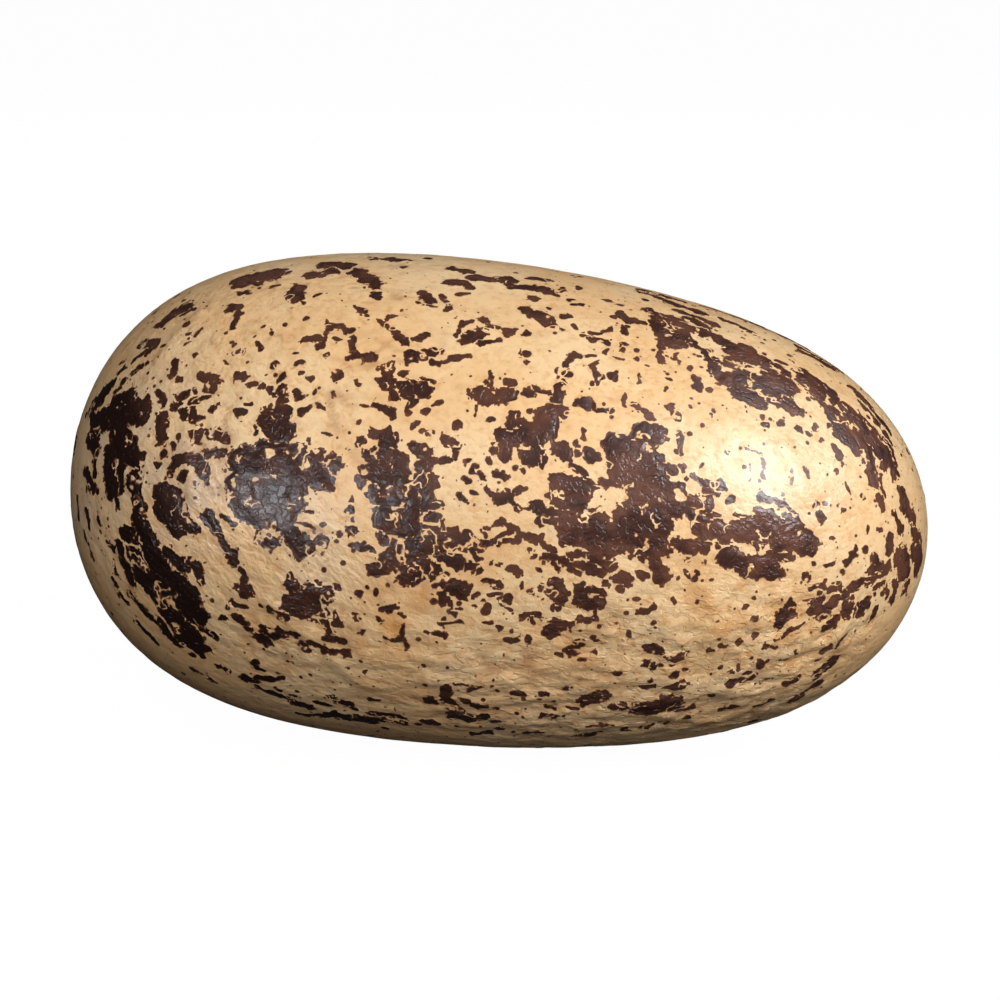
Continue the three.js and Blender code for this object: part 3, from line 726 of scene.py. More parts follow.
@dataclass(frozen=True)
class Marking:
    """The egg's brown marking: its blots, and the gaps of bare shell in them.

    The front's groups go round the egg as copies: one to the back, and one of the upper part over the
    back's top. The tips have blots of their own.
    """

    front: tuple[Blot, ...] = FRONT_BLOTS
    front_gaps: tuple[Blot, ...] = FRONT_GAPS
    tips: tuple[Blot, ...] = TIPS
    back_carry: float = 178.0
    crown_carry: float = 284.0
    crown_turns: tuple[float, float] = (8.0, 58.0)
    shrink: float = 0.96

    def carried(self, group: tuple[Blot, ...], carry: float) -> tuple[Blot, ...]:
        """A group turned end for end and carried round the axis.

        Args:
            group: blots.
            carry: how far they are carried, in degrees.

        Returns:
            The carried blots.
        """
        return tuple(
            Blot(
                -self.shrink * blot.station, blot.turn + carry,
                -self.shrink * blot.to_station, blot.to_turn + carry, blot.half_width,
            )
            for blot in group
        )

    def all_round(self, group: tuple[Blot, ...]) -> tuple[Blot, ...]:
        """A group of the front, its copy on the back, and one of its upper part over the back's top.

        Args:
            group: blots of the front.

        Returns:
            The group with its copies.
        """
        low, high = self.crown_turns
        upper = tuple(blot for blot in group if low < blot.turn < high and low < blot.to_turn < high)
        return group + self.carried(group, self.back_carry) + self.carried(upper, self.crown_carry)

    def laid(
        self, group: tuple[Blot, ...], outline: Outline, wander: Callable[[Array], Array]
    ) -> LaidBlots:
        """Lays a group on the shell.

        Args:
            group: blots.
            outline: the shape that they lie on.
            wander: how far the marking's edges wander at points. A blot's ends move with it, so that
                it stays where it was read.

        Returns:
            The blots.
        """
        starts = np.array([outline.point(blot.station, blot.turn) for blot in group])
        ends = np.array([outline.point(blot.to_station, blot.to_turn) for blot in group])
        starts, ends = starts + wander(starts), ends + wander(ends)
        return LaidBlots(starts, ends - starts, np.array([blot.half_width for blot in group]))


def areas(*rows: tuple[float, float, float, float]) -> tuple[Area, ...]:
    """Areas from rows of station, turn, spread and amount."""
    return tuple(Area(*row) for row in rows)


# Where the shell has more specks, more stain, paler chalky shell, loose flakes, folds that fall
# towards the narrow end, or marking that is nearly black, which along the bottom and round the blunt
# end is painted shade
SPECKLED = areas(
    (-76, 60, 22, 1.0), (-62, 95, 22, 0.8), (-62, 30, 18, 0.6), (36, 4, 20, 1.0), (50, 25, 16, 0.9),
    (70, 30, 18, 0.9), (84, 62, 16, 0.9), (-12, 76, 14, 0.7), (30, 72, 16, 0.7), (60, 76, 12, 0.6),
    (-38, 74, 14, 0.5), (-28, 134, 22, 0.6), (32, 126, 22, 0.6), (74, 100, 14, 0.6), (-2, 8, 16, 0.5),
    (70, 235, 24, 0.9), (40, 290, 26, 0.9), (-30, 200, 24, 0.8), (-62, 245, 26, 0.9), (-10, 270, 30, 0.7),
    (-40, 330, 24, 0.7), (20, 185, 26, 0.5), (10, 340, 22, 0.5),
)
STAINED = areas(
    (-60, 78, 8, 0.9), (-10, 109, 13, 0.9), (52, 98, 11, 0.8), (-36, 115, 13, 0.6), (22, 112, 15, 0.6),
    (66, 106, 11, 0.6), (-30, 46, 11, 0.35), (-66, 40, 10, 0.4), (12, 88, 9, 0.4), (66, 56, 9, 0.3),
    (-50, 262, 14, 0.8), (-12, 232, 15, 0.7), (26, 262, 14, 0.8), (56, 300, 13, 0.7), (0, 318, 14, 0.5),
    (40, 210, 15, 0.6), (-72, 200, 12, 0.6),
)
CHALKY = areas(
    (-57, 76, 17, 0.9), (-78, 76, 13, 0.9), (0, 146, 22, 0.25), (-28, 92, 12, 0.5), (30, 134, 20, 0.3),
    (-66, 60, 12, 0.5), (76, 250, 20, 0.7), (-20, 300, 18, 0.5), (-60, 290, 18, 0.6), (30, 200, 30, 0.5),
)
FLAKY = areas(
    (32, 112, 18, 1.0), (58, 106, 14, 1.0), (46, 129, 15, 0.9), (-2, 118, 16, 0.7), (74, 114, 11, 0.8),
    (-32, 116, 16, 0.6), (12, 214, 26, 0.8), (-34, 262, 20, 0.8), (42, 280, 20, 0.7), (66, 210, 18, 0.6),
    (16, 132, 20, 0.7), (60, 134, 18, 0.8),
)
FOLDED = areas(
    (-44, 66, 30, 1.0), (-56, 104, 24, 0.9), (-22, 98, 20, 0.7), (-34, 30, 24, 0.5), (-50, 272, 32, 0.9),
    (28, 304, 28, 0.5), (10, 250, 26, 0.6), (-62, 36, 24, 0.8), (-20, 14, 24, 0.4),
)
# Nearly black marking: painted shade along the bottom and round the blunt end, and darker marking in a few
# other places on the front, the back and the top
SHADE_AND_DARK_MARKING = areas(
    (-86, 90, 26, 1.0), (-76, 112, 26, 1.0), (-62, 132, 26, 0.9), (-34, 150, 28, 0.8), (6, 156, 30, 0.7),
    (46, 154, 28, 0.6), (-80, 50, 20, 0.6), (84, 270, 26, 0.9), (54, 310, 26, 0.7), (-20, 300, 26, 0.6),
    (-34, 74, 40, 0.4), (-8, 110, 26, 0.25), (0, 10, 44, 0.25), (20, 250, 40, 0.3),
)

# Broad swells and dents, and the ledges, as the solid has them
SWELLS = tuple(
    Swell(*row)
    for row in (
        (-66, 70, 20, 0.45), (-44, 118, 17, -0.55), (-40, 40, 19, 0.4), (-18, 82, 18, -0.45),
        (6, 60, 22, 0.5), (24, 108, 16, -0.5), (48, 74, 17, 0.55), (66, 112, 15, -0.45), (40, 20, 20, -0.4),
        (-8, 4, 24, 0.4), (8, 136, 18, 0.4), (-70, 215, 19, -0.45), (-34, 250, 22, 0.5),
        (-2, 285, 20, -0.5), (30, 240, 19, 0.45), (58, 290, 18, -0.45), (14, 325, 18, 0.4),
        (-50, 320, 18, -0.4),
    )
)
LEDGES = tuple(
    Ledge(*row)
    for row in (
        (60, 112, 77, 114, 5, 0.7), (50, 127, 70, 130, 5, 0.65), (27, 96, 46, 101, 4, 0.6),
        (22, 116, 46, 121, 5, 0.6), (48, 90, 52, 107, 4, 0.6), (18, 134, 52, 139, 6, 0.65),
        (-22, 112, 6, 119, 5, 0.55), (-38, 101, -12, 127, 5, 0.6), (-56, 62, -52, 82, 4, 0.65),
        (-64, 88, -46, 110, 5, 0.6), (-56, 20, -68, 50, 6, 0.5), (58, 44, 66, 66, 5, 0.5),
        (-40, 196, -8, 204, 6, 0.6), (10, 214, 44, 224, 5, 0.65), (-64, 250, -40, 276, 6, 0.6),
        (-24, 262, 4, 254, 5, 0.6), (24, 286, 54, 272, 6, 0.6), (-20, 318, 14, 330, 6, 0.5),
    )
)


def tint(red: int, green: int, blue: int) -> tuple[float, float, float, float]:
    """A screen colour as the light that a shader takes.

    Formula: the screen's own curve, which is a straight line near black and a power above it.

    Args:
        red: from 0 to 255.
        green: from 0 to 255.
        blue: from 0 to 255.

    Returns:
        The three shares of light, and 1 for a solid colour.
    """
    shares = (value / 255.0 for value in (red, green, blue))
    light = (
        share / 12.92 if share <= 0.04045 else ((share + 0.055) / 1.055) ** 2.4
        for share in shares
    )
    return (*light, 1.0)


class Graph:
    """A material's nodes, added by short calls. A value is a socket, or a plain number or colour."""

    def __init__(self, tree: bpy.types.NodeTree) -> None:
        """Starts on an empty tree.

        Args:
            tree: the material's or the world's node tree.
        """
        self.tree = tree
        tree.nodes.clear()

    def node(self, kind: str, values: dict[str | int, object], **settings: object) -> bpy.types.Node:
        """Adds a node.

        Args:
            kind: the node's type.
            values: what its inputs get, by name or number.
            settings: its own options.

        Returns:
            The node.
        """
        node = self.tree.nodes.new(kind)
        for name, setting in settings.items():
            setattr(node, name, setting)
        for name, value in values.items():
            if isinstance(value, bpy.types.NodeSocket):
                self.tree.links.new(value, node.inputs[name])
            else:
                node.inputs[name].default_value = value
        return node

    def math(self, operation: str, *values: Socket | float) -> Socket:
        """The result of a sum on numbers."""
        return self.node("ShaderNodeMath", dict(enumerate(values)), operation=operation).outputs[0]

    def vector(self, operation: str, *values: Socket | tuple[float, ...]) -> Socket:
        """The result of a sum on vectors: a number for a length or a dot product, else a vector."""
        node = self.node("ShaderNodeVectorMath", dict(enumerate(values)), operation=operation)
        return node.outputs["Value" if operation in ("LENGTH", "DOT_PRODUCT") else "Vector"]

    def scaled(self, vector: Socket, scale: Socket | float) -> Socket:
        """A vector times a number."""
        return self.node("ShaderNodeVectorMath", {0: vector, "Scale": scale}, operation="SCALE").outputs[0]

    def layer(self, layer: Layer, output: str = "Fac") -> Socket:
        """One of the mesh's layers, as a number, or as a vector by the output's name."""
        return self.node("ShaderNodeAttribute", {}, attribute_name=layer.value).outputs[output]

    def noise(self, place: Socket, cell: float, detail: float = 2.0, output: str = "Fac") -> Socket:
        """Noise from 0 to 1 with cells of that many millimetres, or its three channels as a colour."""
        values = {"Vector": place, "Scale": 1.0 / cell, "Detail": detail, "Roughness": 0.55}
        return self.node("ShaderNodeTexNoise", values).outputs[output]

    def drawn(self, place: Socket, grain: Grain, stretch: float) -> Socket:
        """A place whose noise comes out drawn along the grain.

        Args:
            place: the point in millimetres.
            grain: which way the noise is drawn.
            stretch: how many times as long as wide it comes out.

        Returns:
            The place to take the noise at.
        """
        values = {"Vector": place, "Angle": math.radians(grain.value)}
        turned = self.node("ShaderNodeVectorRotate", values, rotation_type="Y_AXIS").outputs[0]
        return self.vector("MULTIPLY", turned, (1.0 / stretch, 1.0, 1.0))

    def off_middle(self, value: Socket, middle: float = 0.5) -> Socket:
        """How far a number is from a middle one."""
        return self.math("ABSOLUTE", self.math("SUBTRACT", value, middle))

    def step(self, value: Socket, low: float, high: float) -> Socket:
        """A soft switch: 0 under low and 1 over high, or the other way round where low is more."""
        values = {"Value": value, "From Min": low, "From Max": high}
        return self.node("ShaderNodeMapRange", values, interpolation_type="SMOOTHSTEP").outputs[0]

    def mix(self, share: Socket | float, first: object, second: object) -> Socket:
        """A colour between two, by the share."""
        node = self.node("ShaderNodeMix", {0: share, 6: first, 7: second}, data_type="RGBA")
        return node.outputs[2]


@dataclass(frozen=True)
class Raggedness:
    """How ragged a blot's edge is: a noise's cell, and a strength that grows with the blot."""

    cell: float
    least: float
    growth: float
    widest: float

    def strength(self, graph: Graph, half: Socket) -> Socket:
        """The least strength, plus the growth times the half width, which counts up to the widest."""
        counted = graph.math("MINIMUM", half, self.widest)
        return graph.math("MULTIPLY_ADD", counted, self.growth, self.least)


@dataclass(frozen=True)
class EggshellFinish:
    """Cream shell with brown marking, under a thin satin varnish.

    Colours are screen values, and shares are of 1. Cells, heights, depths, the edge, the vein's half
    width, the speck's trim and the raggedness are in millimetres.
    """

    cream: tuple[int, int, int] = (233, 191, 138)
    pale: tuple[int, int, int] = (237, 203, 155)
    chalk: tuple[int, int, int] = (220, 190, 154)
    tan: tuple[int, int, int] = (210, 150, 90)
    crack: tuple[int, int, int] = (158, 104, 62)
    rim: tuple[int, int, int] = (112, 66, 44)
    umber: tuple[int, int, int] = (104, 66, 52)
    soot: tuple[int, int, int] = (68, 42, 34)
    # The nearly black of the marking, used as painted shade along the bottom and round the blunt end
    black: tuple[int, int, int] = (36, 20, 15)
    fleck_share: float = 0.36
    low_share: float = 0.5
    crease_share: float = 0.6
    edge: tuple[float, float] = (-0.14, -0.05)
    shift: Raggedness = Raggedness(1.8, 0.4, 0.7, 1.5)
    lobes: Raggedness = Raggedness(1.25, 0.4, 1.3, 1.4)
    gap_lobes: float = 1.6
    speck_cells: tuple[float, ...] = (3.8, 2.2, 1.25)
    speck_size: float = 0.31
    speck_trim: float = 0.12
    pinhole_cell: float = 2.3
    pinhole_share: float = 0.45
    vein_cell: float = 3.6
    vein_slope: float = 9.0
    vein_half: float = 0.3
    vein_patch_cell: float = 4.0
    vein_patch_fade: float = 30.0
    vein_patch_level: float = 0.62
    falling_cell: float = 1.3
    level_cell: float = 1.1
    wrinkle_height: float = 0.2
    fold_height: float = 0.16
    marking_fill: float = 0.4
    flake_cell: float = 2.3
    flake_steps: tuple[float, float] = (0.43, 0.54)
    flake_rise: float = 0.03
    flake_foot: float = 0.42
    flake_height: float = 0.13
    groove_cell: float = 2.6
    groove_depth: float = 0.12
    shell_roughness: float = 0.26
    marking_gloss: float = 0.1
    unevenness: float = 0.22

    def material(self) -> bpy.types.Material:
        """Puts the finish together.

        Returns:
            The material.
        """
        material = bpy.data.materials.new("eggshell")
        material.use_nodes = True
        graph = Graph(material.node_tree)
        place = graph.scaled(graph.node("ShaderNodeTexCoord", {}).outputs["Object"], 1.0 / MM)
        depth = self.marking_depth(graph, place)
        mark = graph.step(depth, *self.edge)
        wrinkle = self.wrinkle(graph, place)
        layers = graph.drawn(place, Grain.LENGTHWISE, stretch=1.7)
        layers = graph.noise(layers, self.flake_cell)
        height = self.relief(graph, place, wrinkle, layers)
        bump = graph.node("ShaderNodeBump", {"Strength": 1.0, "Distance": MM, "Height": height})
        shell = self.shell_colour(graph, place, wrinkle, layers)
        colour = graph.mix(mark, shell, self.marking_colour(graph, place, depth))
        surface = graph.node(
            "ShaderNodeBsdfPrincipled",
            {
                "Base Color": colour,
                "Roughness": self.roughness(graph, place, mark),
                "Normal": bump.outputs[0],
                "IOR": 1.5,
                "Coat Weight": 0.3,
                "Coat Roughness": 0.22,
            },
        )
        graph.node("ShaderNodeOutputMaterial", {"Surface": surface.outputs[0]})
        return material

    def marking_depth(self, graph: Graph, place: Socket) -> Socket:
        """How deep a point lies in the marking, in millimetres, under 0 outside it.

        Formula: the blot's half width less the distance to its middle line, cut by the nearest gap
        and by thin veins of bare shell, or the radius of the nearest speck less the distance to it,
        whichever is more. Fine noise moves the point and the depth, so that the edges are ragged.

        Args:
            graph: the material's nodes.
            place: the point in millimetres.

        Returns:
            The depth.
        """
        half = graph.layer(Layer.BLOT_HALF)
        ways = graph.noise(place, self.shift.cell, output="Color")
        ways = graph.vector("SUBTRACT", ways, (0.5, 0.5, 0.5))
        shift = graph.scaled(ways, self.shift.strength(graph, half))
        spot = graph.vector("ADD", graph.layer(Layer.PLACE, "Vector"), shift)
        lobes = graph.math("SUBTRACT", graph.noise(place, self.lobes.cell, detail=1.5), 0.5)
        ragged = graph.math("MULTIPLY", lobes, self.lobes.strength(graph, half))
        offset = graph.vector("SUBTRACT", spot, graph.layer(Layer.BLOT_START, "Vector"))
        run = graph.layer(Layer.BLOT_RUN, "Vector")
        share = graph.vector("DOT_PRODUCT", offset, run)
        length = graph.math("MAXIMUM", graph.vector("DOT_PRODUCT", run, run), 1e-6)
        share = graph.math("DIVIDE", share, length)
        along = graph.scaled(run, graph.math("MINIMUM", graph.math("MAXIMUM", share, 0.0), 1.0))
        away = graph.vector("LENGTH", graph.vector("SUBTRACT", offset, along))
        blot = graph.math("ADD", graph.math("SUBTRACT", half, away), ragged)
        blot = graph.math("MINIMUM", blot, self.veins(graph, place))
        middle = graph.vector("SUBTRACT", spot, graph.layer(Layer.GAP_MIDDLE, "Vector"))
        gap = graph.math("SUBTRACT", graph.vector("LENGTH", middle), graph.layer(Layer.GAP_HALF))
        gap = graph.math("ADD", gap, graph.math("MULTIPLY", lobes, self.gap_lobes))
        pinhole = self.speck_depth(graph, place, shift, self.pinhole_cell, self.pinhole_share)
        pierced = graph.math("MULTIPLY", pinhole, -1.0)
        depth = graph.math("MINIMUM", graph.math("MINIMUM", blot, gap), pierced)
        for cell in self.speck_cells:
            speck = self.speck_depth(graph, place, shift, cell, graph.layer(Layer.SPECKLE))
            depth = graph.math("MAXIMUM", depth, speck)
        return depth

    def veins(self, graph: Graph, place: Socket) -> Socket:
        """How far a point is from the thin veins of bare shell in the patches, in millimetres or so.

        Formula: the veins run where a noise is near a half, in areas where another one is high. The
        distance is the first noise's way from a half times the slope, less the vein's half width, or
        the fade times the second noise's way under its level, whichever is more.

        Args:
            graph: the material's nodes.
            place: the point in millimetres.

        Returns:
            The distance, under 0 in a vein and large where there is none.
        """
        fold = graph.off_middle(graph.noise(place, self.vein_cell))
        near = graph.math("MULTIPLY_ADD", fold, self.vein_slope, -self.vein_half)
        patch = graph.noise(place, self.vein_patch_cell, detail=0.0)
        outside = self.vein_patch_fade * self.vein_patch_level
        elsewhere = graph.math("MULTIPLY_ADD", patch, -self.vein_patch_fade, outside)
        return graph.math("MAXIMUM", near, elsewhere)

    def speck_depth(
        self, graph: Graph, place: Socket, shift: Socket, cell: float, share: Socket | float
    ) -> Socket:
        """How deep a point lies in a speck of one size of cell.

        Formula: one speck to a cell, and only in a share of the cells. Its radius is a random number
        squared, times the speck's size and the cell, less the trim. The depth is the radius less the
        distance to the speck's middle.

        Args:
            graph: the material's nodes.
            place: the point in millimetres.
            shift: the ragged edges' shift.
            cell: the cell's width in millimetres.
            share: the share of the cells that have a speck.

        Returns:
            The depth.
        """
        moved = graph.vector("ADD", place, graph.scaled(shift, 0.9))
        values = {"Vector": moved, "Scale": 1.0 / cell, "Randomness": 1.0}
        cells = graph.node("ShaderNodeTexVoronoi", values, feature="F1")
        chance, size, _ = graph.node("ShaderNodeSeparateColor", {0: cells.outputs["Color"]}).outputs
        present = graph.math("LESS_THAN", chance, share)
        radius = graph.math("MULTIPLY", graph.math("MULTIPLY", size, size), self.speck_size * cell)
        grown = graph.math("SUBTRACT", graph.math("MULTIPLY", radius, present), self.speck_trim)
        return graph.math("SUBTRACT", grown, graph.math("MULTIPLY", cells.outputs["Distance"], cell))

    def marking_colour(self, graph: Graph, place: Socket, depth: Socket) -> Socket:
        """Umber to soot inside the marking, nearly black as painted shade along the bottom and round the
        blunt end and darker in a few other places, and a redder rim at its edge.

        Args:
            graph: the material's nodes.
            place: the point in millimetres.
            depth: how deep it lies in the marking.

        Returns:
            The colour.
        """
        shade = graph.step(graph.noise(place, cell=6.0), low=0.36, high=0.64)
        dark = graph.mix(shade, tint(*self.umber), tint(*self.soot))
        # Painted shade: the marking goes nearly black along the bottom and round the blunt end, and in a
        # few other darker places
        dark = graph.mix(graph.layer(Layer.SHADE_AND_DARK_MARKING), dark, tint(*self.black))
        return graph.mix(graph.step(depth, low=-0.05, high=0.25), tint(*self.rim), dark)

    def shell_colour(self, graph: Graph, place: Socket, wrinkle: Socket, layers: Socket) -> Socket:
        """Cream and paler cream, chalky in places, with tan stains and tan in all that lies low.

        Args:
            graph: the material's nodes.
            place: the point in millimetres.
            wrinkle: the fine wrinkles from 0 to 1.
            layers: how many thin layers of the shell are left, from 0 to 1.

        Returns:
            The colour.
        """
        pale = graph.step(graph.noise(place, cell=22.0), low=0.38, high=0.62)
        shell = graph.mix(pale, tint(*self.cream), tint(*self.pale))
        fleck = graph.step(graph.noise(place, cell=1.8, detail=3.0), low=0.46, high=0.72)
        shell = graph.mix(graph.math("MULTIPLY", fleck, self.fleck_share), shell, tint(*self.tan))
        patchy = graph.step(graph.noise(place, cell=6.0, detail=3.0), low=0.42, high=0.66)
        stain = graph.math("MULTIPLY", graph.layer(Layer.STAIN), patchy)
        shell = graph.mix(stain, shell, tint(*self.tan))
        powder = graph.step(graph.noise(place, cell=9.0), low=0.3, high=0.6)
        powder = graph.math("MULTIPLY", graph.layer(Layer.CHALK), powder)
        shell = graph.mix(powder, shell, tint(*self.chalk))
        low = graph.step(wrinkle, low=0.46, high=0.3)
        low = graph.math("MULTIPLY", low, self.low_share)
        shell = graph.mix(low, shell, tint(*self.tan))
        foot = graph.step(graph.off_middle(layers, self.flake_foot), low=0.08, high=0.0)
        foot = graph.math("MULTIPLY", graph.math("MULTIPLY", foot, fleck), graph.layer(Layer.FLAKE))
        shell = graph.mix(foot, shell, tint(*self.tan))
        crease = graph.math("MULTIPLY", graph.layer(Layer.CREASE), self.crease_share)
        return graph.mix(crease, shell, tint(*self.crack))

    def roughness(self, graph: Graph, place: Socket, mark: Socket) -> Socket:
        """Satin cream and glossier marking, both uneven.

        Args:
            graph: the material's nodes.
            place: the point in millimetres.
            mark: 1 in the marking and 0 outside it.

        Returns:
            The roughness.
        """
        uneven = graph.noise(place, cell=3.0, detail=1.0)
        uneven = graph.math("MULTIPLY", uneven, self.unevenness)
        even = graph.math("MULTIPLY_ADD", mark, -self.marking_gloss, self.shell_roughness)
        return graph.math("ADD", even, uneven)

    def wrinkle(self, graph: Graph, place: Socket) -> Socket:
        """Fine wrinkles: falling ones where the shell is folded, and lengthwise ones elsewhere.

        Args:
            graph: the material's nodes.
            place: the point in millimetres.

        Returns:
            The wrinkles' height from 0 to 1.
        """
        falling = graph.noise(graph.drawn(place, Grain.FALLING, stretch=1.5), self.falling_cell)
        level = graph.noise(graph.drawn(place, Grain.LENGTHWISE, stretch=1.4), self.level_cell)
        values = {0: graph.layer(Layer.FOLD), 2: level, 3: falling}
        return graph.node("ShaderNodeMix", values, data_type="FLOAT").outputs[0]

    def relief(self, graph: Graph, place: Socket, wrinkle: Socket, layers: Socket) -> Socket:
        """The fine relief in millimetres.

        Formula: the wrinkles, deeper where the shell is folded and lower in the marking, and the steps
        of thin flakes. Large blots have grooves too, where a noise is near a half.

        Args:
            graph: the material's nodes.
            place: the point in millimetres.
            wrinkle: the fine wrinkles from 0 to 1.
            layers: how many thin layers of the shell are left, from 0 to 1.

        Returns:
            The height.
        """
        inside = graph.step(graph.layer(Layer.INNER), low=-0.1, high=0.5)
        folded = graph.layer(Layer.FOLD)
        deep = graph.math("MULTIPLY_ADD", folded, self.fold_height, self.wrinkle_height)
        lower = graph.math("MULTIPLY_ADD", inside, -self.marking_fill, 1.0)
        height = graph.math("MULTIPLY", wrinkle, graph.math("MULTIPLY", deep, lower))
        first, second = (
            graph.step(layers, start, start + self.flake_rise) for start in self.flake_steps
        )
        flaky = graph.math("MULTIPLY", graph.layer(Layer.FLAKE), self.flake_height)
        flakes = graph.math("MULTIPLY", graph.math("ADD", first, second), flaky)
        fold = graph.off_middle(graph.noise(place, self.groove_cell))
        grooves = graph.math("MULTIPLY", graph.step(fold, low=0.0, high=0.06), self.groove_depth)
        core = graph.step(graph.layer(Layer.INNER), low=0.5, high=1.6)
        grooves = graph.math("MULTIPLY", grooves, core)
        return graph.math("ADD", graph.math("ADD", height, flakes), grooves)


@dataclass
class FossilEgg:
    """The egg: one closed surface over its solid, with its relief, its marking and its finish."""

    outline: Outline = field(default_factory=Outline)
    marking: Marking = field(default_factory=Marking)
    finish: EggshellFinish = field(default_factory=EggshellFinish)
    squares_along: int = 180
    squares_across: int = 100
    rest_tilt: float = 2.9
    flat_depth: float = 0.6
    wander_cell: float = 3.2
    wander_reach: float = 1.6
    marking_height: float = 0.08
    crack_depth: float = 0.16
    crack_least: float = 0.25
    dent_cell: float = 3.6
    dent_depth: float = 0.2
    dent_stain: float = 0.5
    level_loss: float = 0.4875
    speckle_least: float = 0.3
    speckle_most: float = 0.86
    seed: int = 41

    def build(self) -> bpy.types.Object:
        """Makes the egg.

        Returns:
            The object, in the frame's place.
        """
        smooth, squares = self.outline.skin(self.squares_along, self.squares_across)
        place = smooth + self.wander(smooth)
        marking = self.marking
        brown = marking.all_round(marking.front) + marking.tips
        bare = marking.all_round(marking.front_gaps)
        blots = marking.laid(brown, self.outline, self.wander)
        gaps = marking.laid(bare, self.outline, self.wander)
        _, inner = blots.deepest(place)
        layers = self.weather(smooth)
        height = layers.pop("height") + self.marking_height * smooth_step(inner, -0.3, 0.5)
        points = self.rest(smooth + self.outline.outward(smooth) * height[:, None])
        piece = self.mesh(points, squares)
        for layer, values in layers.items():
            self.write(piece.data, layer, "POINT", values)
        self.write(piece.data, Layer.PLACE, "POINT", place)
        self.write(piece.data, Layer.INNER, "POINT", inner)
        middles = place[squares].mean(axis=1)
        self.write_marking(piece.data, blots, gaps, middles)
        piece.data.materials.append(self.finish.material())
        return piece

    def wander(self, smooth: Array) -> Array:
        """How far the marking's edges wander: three noises, one for each way.

        Args:
            smooth: points of the smooth shell.

        Returns:
            One row of three numbers each, in millimetres.
        """
        cells = smooth / self.wander_cell
        ways = [GradientNoise(self.seed + way).layered(cells, octaves=2) for way in range(3)]
        return self.wander_reach * np.stack(ways, axis=1)

    def weather(self, smooth: Array) -> dict[Layer | str, Array]:
        """The shell's height over its smooth outline, and the layers that its finish reads.

        Formula: the height is the sum of the swells, ledges, folds, flakes and dents, less the cracks.

        Args:
            smooth: points of the smooth shell.

        Returns:
            The height in millimetres, and a share from 0 to 1 for each layer, at each point.
        """
        speckle, stain, chalk, flaky, folded, shade_and_dark_marking = (
            np.clip(sum(area.strength(self.outline, smooth) for area in group), 0.0, 1.0)
            for group in (SPECKLED, STAINED, CHALKY, FLAKY, FOLDED, SHADE_AND_DARK_MARKING)
        )
        height = sum(form.height(self.outline, smooth) for form in SWELLS + LEDGES)
        falling = Wrinkles(Grain.FALLING, length=9.0, width=2.8, height=0.24, seed=self.seed + 10)
        level = Wrinkles(Grain.LENGTHWISE, length=12.0, width=3.4, height=0.09, seed=self.seed + 20)
        flakes = Flakes(length=9.0, width=4.2, step=0.24, steps=4.0, seed=self.seed + 30)
        cracks = level.cracks(smooth) * np.maximum(flaky, self.crack_least)
        cracks = falling.cracks(smooth) * folded + cracks
        dents = smooth_step(GradientNoise(self.seed + 40)(smooth / self.dent_cell), 0.25, 0.5)
        level_share = 1.0 - self.level_loss * np.maximum(flaky, folded)
        height = height + folded * falling.folds(smooth) + level_share * level.folds(smooth)
        height = height + flaky * flakes.rise(smooth)
        height = height - self.crack_depth * cracks - self.dent_depth * dents
        more = self.speckle_most - self.speckle_least
        return {
            "height": height,
            Layer.SPECKLE: self.speckle_least + more * speckle,
            Layer.STAIN: np.clip(stain + self.dent_stain * dents, 0.0, 1.0),
            Layer.CHALK: chalk,
            Layer.FLAKE: flaky,
            Layer.FOLD: folded,
            Layer.CREASE: np.clip(cracks, 0.0, 1.0),
            Layer.SHADE_AND_DARK_MARKING: shade_and_dark_marking,
        }

    def rest(self, points: Array) -> Array:
        """Tips the egg to its balance and stands it on its flat spot, in the middle of the frame.

        Formula: a turn about the egg's level axis across it, a move, and no height under 0.

        Args:
            points: points of the shell.

        Returns:
            The points as they rest.
        """
        tilt = math.radians(self.rest_tilt)
        turned = points.copy()
        turned[:, 0] = points[:, 0] * math.cos(tilt) + points[:, 2] * math.sin(tilt)
        turned[:, 2] = points[:, 2] * math.cos(tilt) - points[:, 0] * math.sin(tilt)
        low, high = turned.min(axis=0), turned.max(axis=0)
        turned -= [(low[0] + high[0]) / 2.0, (low[1] + high[1]) / 2.0, low[2] + self.flat_depth]
        turned[:, 2] = np.maximum(turned[:, 2], 0.0)
        return turned

    def mesh(self, points: Array, squares: Array) -> bpy.types.Object:
        """Makes a smooth-shaded object.

        Args:
            points: its points in millimetres.
            squares: its squares as rows of four numbers of points.

        Returns:
            The object.
        """
        mesh = bpy.data.meshes.new("fossil_egg")
        mesh.from_pydata((points * MM).tolist(), [], squares.tolist())
        mesh.shade_smooth()
        piece = bpy.data.objects.new("fossil_egg", mesh)
        bpy.context.scene.collection.objects.link(piece)
        return piece

    def write(self, mesh: bpy.types.Mesh, layer: Layer, domain: str, values: Array) -> None:
        """Writes one layer of numbers or vectors into the mesh.

        Args:
            mesh: the egg's mesh.
            layer: the layer, which names the attribute.
            domain: whether it has a value for each point or for each square.
            values: one number or one row of three each.
        """
        kind, name = ("FLOAT_VECTOR", "vector") if values.ndim == 2 else ("FLOAT", "value")
        attribute = mesh.attributes.new(layer.value, kind, domain)
        attribute.data.foreach_set(name, values.astype(np.float32).ravel())

